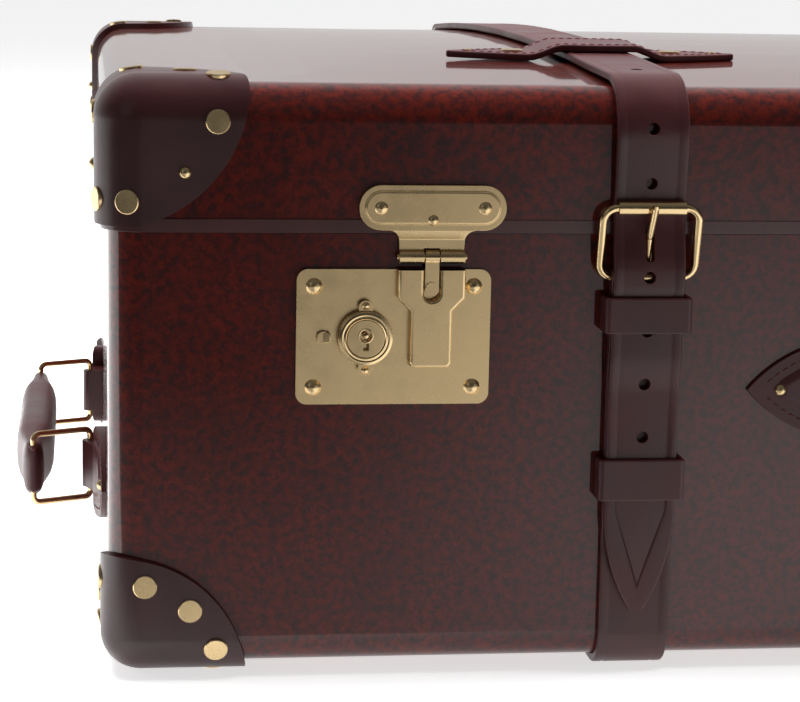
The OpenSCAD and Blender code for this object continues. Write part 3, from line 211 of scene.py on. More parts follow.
def bump(tree, shader, height, distance, strength=1.0, before=None):
    node = tree.nodes.new("ShaderNodeBump")
    node.inputs["Distance"].default_value = distance
    node.inputs["Strength"].default_value = strength
    tree.links.new(height, node.inputs["Height"])
    if before is not None:
        link(tree, before, "Normal", node, "Normal")
    link(tree, node, "Normal", shader, "Normal")
    return node


def tinted(colour, factor):
    return tuple(min(1, c * factor) for c in colour)


def fibre_material():
    """Glossy vulcanised fibre: red with clouded near-black specks."""
    material, tree, shader = new_material("fibre_sheet", 0.42, coat=0.9, coat_roughness=0.05,
                                          specular=0.12)
    if tree is None:
        return material
    colours = look()
    place = object_place(tree)
    specks = noise(tree, place, colours.speck, detail=4, roughness=0.62, distortion=0.35)
    clouds = noise(tree, place, colours.speck * 9, detail=2)
    fine = noise(tree, place, colours.speck / 3.2, detail=2, roughness=0.7)
    speck_mask = ramp(tree, specks, [(0.36, 0.12), (0.60, 1.0)])
    cloud_mask = ramp(tree, clouds, [(0.35, 0.25), (0.7, 0.75)])
    fine_mask = ramp(tree, fine, [(0.35, 0.0), (0.75, 1.0)])
    deep_red = mix(tree, fine_mask.outputs["Color"], tinted(colours.fibre_red, 0.62),
                   tinted(colours.fibre_red, 1.25))
    toned = mix(tree, cloud_mask.outputs["Color"], deep_red, tinted(colours.fibre_red, 0.55))
    colour = mix(tree, speck_mask.outputs["Color"], colours.fibre_dark[:], toned)
    tree.links.new(colour, shader.inputs["Base Color"])
    grain = noise(tree, place, 1.6 * MM, detail=2)
    swell = noise(tree, place, 60 * MM, detail=1)
    first = bump(tree, shader, swell.outputs["Fac"], 0.6 * MM, 0.25)
    bump(tree, shader, grain.outputs["Fac"], 0.02 * MM, 0.35, before=first)
    return material


def leather_material(name="belt_hide", tone=1.0, roughness=0.40):
    """Smooth waxed hide: fine pores, soft mottling, a thin wax coat."""
    material, tree, shader = new_material(name, roughness, coat=0.12, coat_roughness=0.3,
                                          specular=0.45)
    if tree is None:
        return material
    base = tinted(look().leather, tone)
    place = object_place(tree)
    clouds = noise(tree, place, 22 * MM, detail=3)
    mottle = ramp(tree, clouds, [(0.3, tinted(base, 0.78)), (0.7, tinted(base, 1.22))])
    # The pores darken towards their middles, where the bump sinks them: painted shade in the pores.
    pores = tree.nodes.new("ShaderNodeTexVoronoi")
    pores.inputs["Scale"].default_value = 1 / (0.75 * MM)
    link(tree, place, "Vector", pores, "Vector")
    shade = ramp(tree, pores, [(0.0, 0.72), (0.45, 1.0)], output="Distance")
    colour = mix(tree, None, mottle.outputs["Color"], shade.outputs["Color"], "MULTIPLY", 0.55)
    tree.links.new(colour, shader.inputs["Base Color"])
    rough = ramp(tree, clouds, [(0.3, roughness - 0.05), (0.7, roughness + 0.07)])
    tree.links.new(rough.outputs["Color"], shader.inputs["Roughness"])
    wrinkles = noise(tree, place, 5 * MM, detail=4, roughness=0.6, distortion=0.6)
    first = bump(tree, shader, wrinkles.outputs["Fac"], 0.10 * MM, 0.5)
    bump(tree, shader, pores.outputs["Distance"], 0.035 * MM, 0.6, before=first)
    return material


def raw_leather_material():
    """Cut hide at the rims of the punched holes."""
    material, tree, shader = new_material("cut_hide", 0.7)
    if tree is None:
        return material
    place = object_place(tree)
    fuzz = noise(tree, place, 0.6 * MM, detail=3)
    tint = ramp(tree, fuzz, [(0.3, tinted(look().raw_leather, 0.6)), (0.7, look().raw_leather[:])])
    link(tree, tint, "Color", shader, "Base Color")
    bump(tree, shader, fuzz.outputs["Fac"], 0.08 * MM, 0.6)
    return material


def band_material():
    """Painted binding, a little darker and smoother than the sheet."""
    material, tree, shader = new_material("binding", 0.32, coat=0.5, coat_roughness=0.12)
    if tree is None:
        return material
    place = object_place(tree)
    clouds = noise(tree, place, 14 * MM, detail=3)
    tint = ramp(tree, clouds, [(0.3, tinted(look().band, 0.8)), (0.7, tinted(look().band, 1.2))])
    link(tree, tint, "Color", shader, "Base Color")
    bump(tree, shader, noise(tree, place, 1.2 * MM).outputs["Fac"], 0.03 * MM, 0.4)
    return material


def brass_material(name="satin_brass", tone=1.0, roughness=0.27, blotch=0.02):
    """Satin gold-brown brass with faint blotches and a fine grain."""
    material, tree, shader = new_material(name, roughness, metallic=1.0)
    if tree is None:
        return material
    base = tinted(look().brass, tone)
    place = object_place(tree)
    clouds = noise(tree, place, 9 * MM, detail=3)
    tint = ramp(tree, clouds, [(0.3, tinted(base, 1 - blotch * 2)),
                               (0.7, tinted(base, 1 + blotch))])
    link(tree, tint, "Color", shader, "Base Color")
    rough = ramp(tree, clouds, [(0.25, roughness - 0.04), (0.75, roughness + 0.06)])
    tree.links.new(rough.outputs["Color"], shader.inputs["Roughness"])
    bump(tree, shader, noise(tree, place, 0.25 * MM, detail=2).outputs["Fac"], 0.006 * MM, 0.5)
    return material


def highlit_brass_material():
    """A lighter, smoother copy of the brass for the round fittings; its lighter colour is a painted
    highlight.
    """
    return brass_material("highlit_brass", tone=1.08, roughness=0.2)


def thread_material():
    material, tree, shader = new_material("thread", 0.6)
    if tree is None:
        return material
    place = object_place(tree)
    twist = tree.nodes.new("ShaderNodeTexWave")
    twist.bands_direction = "DIAGONAL"
    twist.inputs["Scale"].default_value = 1 / (1.1 * MM)
    link(tree, place, "Vector", twist, "Vector")
    tint = ramp(tree, twist, [(0.2, tinted(look().thread, 0.6)), (0.8, look().thread[:])])
    link(tree, tint, "Color", shader, "Base Color")
    bump(tree, shader, twist.outputs["Fac"], 0.08 * MM, 0.6)
    return material


def lining_material():
    """Woven cotton lining."""
    material, tree, shader = new_material("lining_cloth", 0.85)
    if tree is None:
        return material
    place = object_place(tree)
    weave = tree.nodes.new("ShaderNodeTexChecker")
    weave.inputs["Scale"].default_value = 1 / (0.9 * MM)
    link(tree, place, "Vector", weave, "Vector")
    clouds = noise(tree, place, 30 * MM, detail=3)
    tint = ramp(tree, clouds, [(0.3, (0.40, 0.32, 0.23)), (0.7, (0.50, 0.41, 0.30))])
    dark = mix(tree, None, tint.outputs["Color"], (0.75, 0.72, 0.68), "MULTIPLY", 1.0)
    colour = mix(tree, weave.outputs["Fac"], tint.outputs["Color"], dark)
    tree.links.new(colour, shader.inputs["Base Color"])
    bump(tree, shader, weave.outputs["Fac"], 0.1 * MM, 0.5)
    shader.inputs["Sheen Weight"].default_value = 0.25
    return material


def wood_material():
    """Pale frame wood, grain along the case."""
    material, tree, shader = new_material("pale_wood", 0.5)
    if tree is None:
        return material
    place = object_place(tree, (0.06, 0.06, 1))
    grain = noise(tree, place, 2.2 * MM, detail=5, roughness=0.6, distortion=0.8)
    tint = ramp(tree, grain, [(0.35, (0.30, 0.18, 0.09)), (0.65, (0.48, 0.32, 0.17))])
    link(tree, tint, "Color", shader, "Base Color")
    bump(tree, shader, grain.outputs["Fac"], 0.1 * MM, 0.4)
    return material


# Mesh helpers


# Merging distances in metres, the angle in degrees that still counts as flat, the least share of
# a face's normal that points to the front or up, the crease's sizes, and the stitch's, whose sink
# is a share of its radius
MERGE, CUT_MERGE, SCRAP_MERGE = 2e-6, 1e-7, 1e-6
FLAT_ANGLE = 0.5
FRONT_SHARE, TOP_SHARE = 0.3, 0.5
CREASE_HALF, CREASE_DEPTH = 0.55 * MM, 0.36 * MM
STITCH_LENGTH, STITCH_RADIUS, STITCH_SINK = 2.3 * MM, 0.42 * MM, 0.8
RAY_START = 40 * MM


def finish_piece(name, bm, material, body, stands_for=(), sharp=35, second=None):
    """Makes an object of a mesh whose place is already in its points."""
    mesh = bpy.data.meshes.new(name)
    for face in bm.faces:
        face.smooth = True
    bm.to_mesh(mesh)
    bm.free()
    mesh.set_sharp_from_angle(angle=math.radians(sharp))
    piece = bpy.data.objects.new(name, mesh)
    bpy.context.scene.collection.objects.link(piece)
    mesh.materials.append(material)
    if second:
        mesh.materials.append(second)
    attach(piece, body)
    if stands_for:
        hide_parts(*stands_for)
    weighted = piece.modifiers.new("even_faces", "WEIGHTED_NORMAL")
    weighted.keep_sharp = True
    return piece


def body_of_node(node):
    return NODES[node]["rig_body"]


def merged_copy(node):
    """The node's mesh as one bmesh, its doubles merged and its flat faces joined."""
    bm = bmesh.new()
    bm.from_mesh(NODES[node].data)
    bmesh.ops.remove_doubles(bm, verts=bm.verts, dist=MERGE)
    bmesh.ops.dissolve_limit(bm, angle_limit=math.radians(FLAT_ANGLE), verts=bm.verts,
                             edges=bm.edges)
    return bm


def round_edges(bm, width, angle=40, segments=3, choose=None):
    edges = [e for e in bm.edges if len(e.link_faces) == 2
             and e.calc_face_angle(0) > math.radians(angle) and (choose is None or choose(e))]
    bmesh.ops.bevel(bm, geom=edges, offset=width, offset_type="OFFSET", affect="EDGES",
                    segments=segments, profile=0.5, material=-1, clamp_overlap=True)


def softened(node, material, width, angle=40, grow=0.0):
    """A copy of a CAD node with rounded edges, grown where asked, stands for the node."""
    bm = merged_copy(node)
    round_edges(bm, width, angle)
    if grow:
        bm.normal_update()
        for vert, normal in [(v, v.normal.copy()) for v in bm.verts]:
            vert.co += normal * grow
    return finish_piece(node + "_soft", bm, material, body_of_node(node), [node], sharp=50)


def outward(face):
    """True for a face that looks away from the middle of the case."""
    return face.normal.dot(face.calc_center_median() - HEART) > 0


def outer_face(face):
    return face.normal.dot(-REAR) > FRONT_SHARE


def parts_of(faces):
    edges = {e for f in faces for e in f.edges}
    verts = {v for f in faces for v in f.verts}
    return list(verts) + list(edges) + list(faces)


def press_crease(bm, point, across, outer, choose=lambda f: True):
    """Presses a V-shaped crease into the outer faces along a plane through the leather."""
    for shift in (-CREASE_HALF, 0.0, CREASE_HALF):
        bmesh.ops.bisect_plane(bm, geom=parts_of([f for f in bm.faces if choose(f)]),
                               dist=CUT_MERGE, plane_co=point + across * shift, plane_no=across)
    bm.normal_update()
    moves = []
    for vert in bm.verts:
        if abs((vert.co - point).dot(across)) > MERGE:
            continue
        faces = [f for f in vert.link_faces if outer(f) and choose(f)]
        if faces:
            moves.append((vert, sum((f.normal for f in faces), Vector()).normalized()))
    for vert, normal in moves:
        vert.co -= normal * CREASE_DEPTH


def surface_of(node):
    bm = bmesh.new()
    bm.from_mesh(NODES[node].data)
    tree = BVHTree.FromBMesh(bm)
    bm.free()
    return tree


def stitch_line(bm, tree, places, direction):
    """Lays a row of stitches where rays along a direction meet the leather."""
    points, normals = [], []
    for place in places:
        hit, normal, _, _ = tree.ray_cast(place, direction)
        if hit is None:
            continue
        if normal.dot(direction) > 0:
            normal = -normal
        points.append(hit)
        normals.append(normal)
    add_stitches(bm, points, normals)


def lathe(bm, profile, matrix, steps, ribs=None):
    """Turns a profile of (radius, height) about the matrix's Z axis; ribs knurl a height range."""
    verts = [bm.verts.new((r * MM, 0, h * MM)) for r, h in profile]
    edges = [bm.edges.new(pair) for pair in zip(verts, verts[1:])]
    bmesh.ops.spin(bm, geom=verts + edges, cent=(0, 0, 0), axis=(0, 0, 1), angle=2 * math.pi,
                   steps=steps, use_merge=True)
    new = [v for v in bm.verts if not v.tag]
    bmesh.ops.remove_doubles(bm, verts=new, dist=CUT_MERGE)
    new = [v for v in bm.verts if not v.tag]
    if ribs:
        low, high, rise = ribs
        for vert in new:
            turn = math.degrees(math.atan2(vert.co.y, vert.co.x)) % 360
            if low * MM < vert.co.z < high * MM and round(turn * steps / 360) % 2:
                grow = 1 + rise * MM / math.hypot(vert.co.x, vert.co.y)
                vert.co.x *= grow
                vert.co.y *= grow
    bmesh.ops.recalc_face_normals(bm, faces=list({f for v in new for f in v.link_faces}))
    bmesh.ops.transform(bm, matrix=matrix, verts=new)
    for vert in new:
        vert.tag = True


def rounded(width, height, radius, steps=8):
    """Outline of a rectangle with round corners about its middle."""
    points = []
    for turn, (sx, sy) in enumerate(((1, 1), (-1, 1), (-1, -1), (1, -1))):
        cx, cy = sx * (width / 2 - radius), sy * (height / 2 - radius)
        for i in range(steps + 1):
            angle = math.radians(90 * turn + 90 * i / steps)
            points.append((cx + radius * math.cos(angle), cy + radius * math.sin(angle)))
    return points


def join_part(whole, part):
    """Adds a finished part to the bmesh of its piece."""
    mesh = bpy.data.meshes.new("part")
    part.to_mesh(mesh)
    part.free()
    whole.from_mesh(mesh)
    bpy.data.meshes.remove(mesh)


def raised_plate(bm, outline, matrix, thickness, edge, start, plain=lambda e: False):
    """A plate on the matrix's XY plane with its upper edge rounded, but for its plain edges."""
    part = bmesh.new()
    face = part.faces.new([part.verts.new((x * MM, y * MM, start * MM)) for x, y in outline])
    made = bmesh.ops.extrude_face_region(part, geom=[face])["geom"]
    bmesh.ops.translate(part, verts=[v for v in made if isinstance(v, bmesh.types.BMVert)],
                        vec=(0, 0, (thickness - start) * MM))
    top = next(f for f in made if isinstance(f, bmesh.types.BMFace))
    bmesh.ops.recalc_face_normals(part, faces=part.faces)
    edges = [e for e in top.edges if not plain(e)]
    bmesh.ops.bevel(part, geom=edges, offset=edge * MM, offset_type="OFFSET", affect="EDGES",
                    segments=4, profile=0.5, material=-1, clamp_overlap=False)
    bmesh.ops.transform(part, matrix=matrix, verts=part.verts)
    join_part(bm, part)


def on_wall(x, z):
    """Frame on the base's front wall: X to the right, Y up, Z out of the wall."""
    turn = Matrix.Rotation(math.radians(90), 4, "X")
    return Matrix.Translation((x, BASE_LOW.y, z)) @ turn


def add_stitches(bm, points, normals):
    """Lays stitches, small sunk beads of thread, along a line on the leather."""
    pitch = sizes().stitch
    shape = Matrix.Diagonal((STITCH_LENGTH / 2, STITCH_RADIUS, STITCH_RADIUS * STITCH_SINK, 1))
    gone = 0.0
    due = pitch / 2
    for (a, na), (b, nb) in zip(zip(points, normals), zip(points[1:], normals[1:])):
        step = (b - a).length
        while due <= gone + step and step > 0:
            t = (due - gone) / step
            place = a.lerp(b, t)
            normal = na.lerp(nb, t).normalized()
            along = (b - a).normalized()
            side = normal.cross(along).normalized()
            turn = Matrix((along, side, normal)).transposed().to_4x4()
            bmesh.ops.create_uvsphere(bm, u_segments=8, v_segments=6, radius=1.0,
                                      matrix=Matrix.Translation(place) @ turn @ shape)
            due += pitch
        gone += step


# Belts


# The taper's ends are heights in millimetres above the buckled end's tip
HOLE_REACH, HOLE_INSIDE, HOLE_CHAMFER = 2.9 * MM, 0.2 * MM, 0.22 * MM
LOOP_EDGE = 0.6 * MM
TAPER, TAPER_TIP = 36.0, 9.0


def belt_mesh(node, bends_round_case=True):
    """Copy of a belt's node with rounded edges and small chamfers at the holes."""
    low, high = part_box(node)
    middle, half = (low.x + high.x) / 2, (high.x - low.x) / 2
    outer = outward if bends_round_case else outer_face

    def near_middle(edge):
        return all(abs(v.co.x - middle) < HOLE_REACH for v in edge.verts)

    bm = merged_copy(node)
    round_edges(bm, sizes().leather_edge, choose=lambda e: not near_middle(e))
    round_edges(bm, HOLE_CHAMFER, segments=2, choose=near_middle)
    for face in bm.faces:
        reach = HOLE_REACH - HOLE_INSIDE
        if all(abs(v.co.x - middle) < reach for v in face.verts):
            face.material_index = 1
    return bm, middle, half, outer


class SUITCASE_OT_belts(bpy.types.Operator):
    """Creased belts with punched holes, over the lid, under the base and through the buckles"""
    bl_idname = "suitcase.belts"
    bl_label = "Belts"

    def execute(self, context):
        leather, raw = leather_material(), raw_leather_material()
        for name in SIDES:
            for node, title in (("lid_belt_", "belt_over_lid_"),
                                ("base_belt_", "belt_under_base_")):
                bm, middle, half, outer = belt_mesh(node + name)
                for side in (-1, 1):
                    line = Vector((middle + side * (half - sizes().crease), 0, 0))
                    press_crease(bm, line, RIGHT, outer)
                finish_piece(title + name, bm, leather, body_of_node(node + name),
                             [node + name], second=raw)
            self.buckled_end("billet_" + name, "buckled_end_" + name, leather, raw)
        softened("belt_loops", leather, LOOP_EDGE)
        return {"FINISHED"}

    def buckled_end(self, node, title, leather, raw):
        bm, middle, half, outer = belt_mesh(node, bends_round_case=False)
        low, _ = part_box(node)
        turn = low.z + TAPER * MM
        inner = half - sizes().crease
        point = low.z + TAPER_TIP * MM
        bmesh.ops.bisect_plane(bm, geom=parts_of(bm.faces), dist=CUT_MERGE,
                               plane_co=Vector((0, 0, turn)), plane_no=UP)
        lower = [f for f in bm.faces if f.calc_center_median().z < turn]
        bmesh.ops.bisect_plane(bm, geom=parts_of(lower), dist=CUT_MERGE,
                               plane_co=Vector((middle, 0, 0)), plane_no=RIGHT)
        for side in (-1, 1):
            start = Vector((middle + side * inner, 0, turn))
            press_crease(bm, start, RIGHT, outer,
                         lambda f: f.calc_center_median().z > turn)
            along = Vector((middle, 0, point)) - start
            across = along.cross(REAR).normalized()
            press_crease(bm, start, across, outer,
                         lambda f: (f.calc_center_median().z < turn
                                    and side * (f.calc_center_median().x - middle) > 0))
        finish_piece(title, bm, leather, "base", [node], second=raw)


# Crowned lid


# Height of the flat lid above the base's underside, then the crown's grid and margins, in mm
CASE_HEIGHT = 205.0
CROWN_STEP = 26.0
CROWN_MARGIN = 14.0
CROWN_END = 52.0
CROWN_POWER = 5
TOP_SLACK = 0.05 * MM


class SUITCASE_OT_lid(bpy.types.Operator):
    """Lid whose top swells evenly to its middle"""
    bl_idname = "suitcase.lid"
    bl_label = "Lid"

    def execute(self, context):
        bm = merged_copy("lid_shell")
        flat = BASE_LOW.z + CASE_HEIGHT * MM
        crown = LID_HIGH.z - flat

        def top_faces():
            return [f for f in bm.faces if f.normal.z > TOP_SHARE
                    and min(v.co.z for v in f.verts) > flat - TOP_SLACK]

        reach = (LID_HIGH - LID_LOW) / 2
        for axis, half in ((RIGHT, reach.x), (REAR, reach.y)):
            count = int(2 * half / (CROWN_STEP * MM))
            for i in range(1, count):
                place = MIDDLE + axis * (-half + 2 * half * i / count)
                bmesh.ops.bisect_plane(bm, geom=parts_of(top_faces()), dist=CUT_MERGE,
                                       plane_co=place, plane_no=axis)
        wide, deep = reach.x - CROWN_END * MM, reach.y - CROWN_MARGIN * MM
        for vert in {v for f in top_faces() for v in f.verts}:
            x = min(1.0, abs(vert.co.x - MIDDLE.x) / wide)
            y = min(1.0, abs(vert.co.y - MIDDLE.y) / deep)
            vert.co.z = flat + crown * (1 - y * y) * (1 - x ** CROWN_POWER)
        finish_piece("crowned_lid", bm, fibre_material(), "lid", ["lid_shell"], sharp=50)
        return {"FINISHED"}


# Leather corners, lid loops and handle tabs


# Numbers without MM are millimetres, but for PAD_GRID and the PLACES, which count grid cells and
# the rays that lay a row of stitches
LOOP_SEAM, LOOP_SOFT, LOOP_MARGIN, LOOP_PLACES = 3.2, 0.7 * MM, 4, 181
LOOP_RAY, LOOP_LEAST = 10 * MM, 0.5
TAB_SEAM, TAB_GROOVE, TAB_POINT, TAB_SOFT = 3.4, 5.6, 38.0, 0.5 * MM
TAB_PLACES, LEAST_HALF = 91, 0.4
PAD_START, PAD_SLOPE, PAD_RISE, PAD_SINK = 3, 3.4, 1.15, 0.12
PAD_GRID = (54, 22)


class SUITCASE_OT_corners(bpy.types.Operator):
    """Moulded leather corners with rounded edges"""
    bl_idname = "suitcase.corners"
    bl_label = "Leather corners"

    def execute(self, context):
        leather = leather_material("corner_hide", tone=0.62, roughness=0.36)
        for part in ("base", "lid"):
            for depth in ("front", "rear"):
                for side in SIDES:
                    softened(f"{part}_corner_{depth}_{side}", leather,
                             sizes().leather_edge, angle=35)
        return {"FINISHED"}


class SUITCASE_OT_lid_loops(bpy.types.Operator):
    """Pointed loops over the belts on the lid, stitched along both edges"""
    bl_idname = "suitcase.lid_loops"
    bl_label = "Lid loops"

    def execute(self, context):
        leather = leather_material()
        for name in SIDES:
            node = "lid_keeper_" + name
            softened(node, leather, LOOP_SOFT, angle=50)
            low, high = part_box(node)
            middle = (low + high) / 2
            half = (high.x - low.x) / 2 / MM
            tree = surface_of(node)
            bm = bmesh.new()
            for edge in (-1, 1):
                places = []
                for i in range(LOOP_PLACES):
                    x = -half + 2 * half * i / (LOOP_PLACES - 1)
                    width = lens_half(x, 2 * half + LOOP_MARGIN, (high.y - low.y) / MM, LOOP_SEAM)
                    if width > LOOP_LEAST:
                        places.append(Vector((middle.x + x * MM, middle.y + edge * width * MM,
                                              high.z + LOOP_RAY)))
                stitch_line(bm, tree, places, -UP)
            finish_piece("lid_loop_stitches_" + name, bm, thread_material(), "lid")
        return {"FINISHED"}


def lens_half(x, length, width, inside):
    """Half width at x of a pointed lens, a distance inside its edge."""
    radius = (length * length / 4 + width * width / 4) / width
    chord = (radius - inside) ** 2 - x * x
    return math.sqrt(max(0.0, chord)) - (radius - width / 2)


class SUITCASE_OT_handles(bpy.types.Operator):
    """Leather tabs and padded grips of both handles"""
    bl_idname = "suitcase.handles"
    bl_label = "Handles"

    def execute(self, context):
        leather = leather_material()
        for node, along, out in (("front_handle_chapes", RIGHT, -REAR),
                                 ("side_handle_chapes", REAR, -RIGHT)):
            softened(node, leather, TAB_SOFT)
            self.raised_tabs(node, along, out, leather)
        grip = leather_material("grip_hide", tone=0.95, roughness=0.38)
        for node in ("front_grip", "side_grip"):
            bm = merged_copy(node)
            piece = finish_piece(node + "_leather", bm, grip, body_of_node(node),
                                 [node], sharp=60)
        return {"FINISHED"}

    def raised_tabs(self, node, along, out, leather):
        """A padded middle and a row of stitches on each leather tab."""
        low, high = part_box(node)
        middle = (low + high) / 2
        tip = abs((high - low).dot(along)) / MM / 2
        height = (high.z - low.z) / MM
        wide = tip - TAB_POINT
        tree = surface_of(node)
        seams, pads = bmesh.new(), bmesh.new()
        for end in (-1, 1):
            for edge in (-1, 1):
                row = []
                for i in range(TAB_PLACES):
                    x = wide + (tip - TAB_SEAM * 2 - wide) * i / (TAB_PLACES - 1)
                    half = lens_half(x - wide, 2 * TAB_POINT, height, TAB_SEAM)
                    if half > LEAST_HALF:
                        row.append((x, edge * half))
                row = [(wide - 2 * i, row[0][1]) for i in range(2, 0, -1)] + row
                rays = [middle + along * end * x * MM + UP * h * MM + out * RAY_START
                        for x, h in row]
                stitch_line(seams, tree, rays, -out)
            self.pad(pads, tree, middle, along * end, out, wide, tip, height)
        finish_piece(node + "_stitches", seams, thread_material(), "base")
        finish_piece(node + "_pads", pads, leather, "base", sharp=60)

    def pad(self, whole, tree, middle, along, out, wide, tip, height):
        """Raised lens inside the seam, laid on the tab's surface."""
        start, end = wide - PAD_START, tip - TAB_GROOVE * 2
        radius = (TAB_POINT * TAB_POINT + height * height / 4) / height
        bm = bmesh.new()
        bmesh.ops.create_grid(bm, x_segments=PAD_GRID[0], y_segments=PAD_GRID[1], size=1.0)
        for vert in bm.verts:
            x = start + (end - start) * (vert.co.x + 1) / 2
            half = lens_half(max(0, x - wide), 2 * TAB_POINT, height, TAB_GROOVE)
            h = half * vert.co.y
            reach = math.hypot(max(0, x - wide), abs(h) + radius - height / 2)
            inside = max(0, min(radius - reach - TAB_GROOVE, x - start, end - x))
            lift = PAD_RISE * math.sin(math.pi / 2 * min(1, inside / PAD_SLOPE)) - PAD_SINK
            place = middle + along * x * MM + UP * h * MM
            hit = tree.ray_cast(place + out * RAY_START, -out)[0]
            vert.co = (hit or place) + out * lift * MM
        bmesh.ops.remove_doubles(bm, verts=bm.verts, dist=SCRAP_MERGE)
        bmesh.ops.recalc_face_normals(bm, faces=bm.faces)
        if sum((f.normal for f in bm.faces), Vector()).dot(out) < 0:
            bmesh.ops.reverse_faces(bm, faces=bm.faces)
        join_part(whole, bm)


# Metal


# Millimetres: heights out of the front wall, places from the middle of the lock plate. The SOFT
# values are shares of the metal edge's rounding
PLATE_FACE, HOUSING_FACE, HOUSING_EDGE = 1.6, 5.35, 1.1
HOUSING_X, HOUSING_TOP, HOUSING_SINK, TOUCH = 12.7, 23.7, 0.2, 0.01
LUG_X, LUG_SLOPE = -24.4, 0.36
HASP_WIDE, HASP_HIGH, HASP_FACE = 51.0, 15.6, 4.65
HASP_RIM, HASP_DEEP, HASP_EDGE, FACE_FLAT = 4.4, 0.9, 0.6, 0.05
LUG_SIZE, LUG_RISE, LUG_SINK, LUG_EDGE = (4.6, 3.6, 0.5), 1.7, 1.2, 0.35
HOUSING_WIDE, HOUSING_NARROW, HOUSING_LOW, HOUSING_ROUND = 11.75, 7.3, -8.2, 2.2
HOUSING_SHOULDER, HOUSING_STEP = 14.0, 9.4
SLOT_HALF, SLOT_END = 2.75, 15.75
FLANGE_UNDER_FACE, KEYHOLE_RISE = 3.5, 1.0
HINGE_SOFT, BARREL_SOFT, CYLINDER_SOFT, HOOK_SOFT, BUCKLE_SOFT = 0.6, 0.7, 0.6, 2.4, 2.0
BUCKLE_GROW, BAND_EDGE = 0.25 * MM, 1.3 * MM
# Turned profiles as (radius, height): the skirt above its foot, rim and pin above the key's face
SKIRT = ((9.3, 0.0), (9.42, 0.15), (9.42, 1.75), (9.2, 1.95), (9.42, 2.15), (9.42, 2.9),
         (9.2, 3.35), (8.7, 3.62), (8.1, 3.66), (7.75, 3.5), (7.6, 3.55), (7.3, 3.85), (7.0, 3.9))
SKIRT_GAP, SKIRT_END, RIB_LOW, RIB_HIGH, RIB_RISE = 0.05, 3.6, 0.1, 1.8, 0.22
KEY_RIM = ((2.1, -0.2), (2.15, 0.12), (2.35, 0.22), (2.6, 0.12), (2.65, -0.2))
KEY_PIN = ((1.05, -2.2), (1.05, -0.35), (0.9, -0.12), (0.5, -0.02), (0.0, 0.0))
EAR_DOME_Z = 11.3
EAR_DOME = ((1.35, 3.6), (1.35, 4.0), (1.2, 4.4), (0.85, 4.72), (0.45, 4.88), (0.0, 4.93))


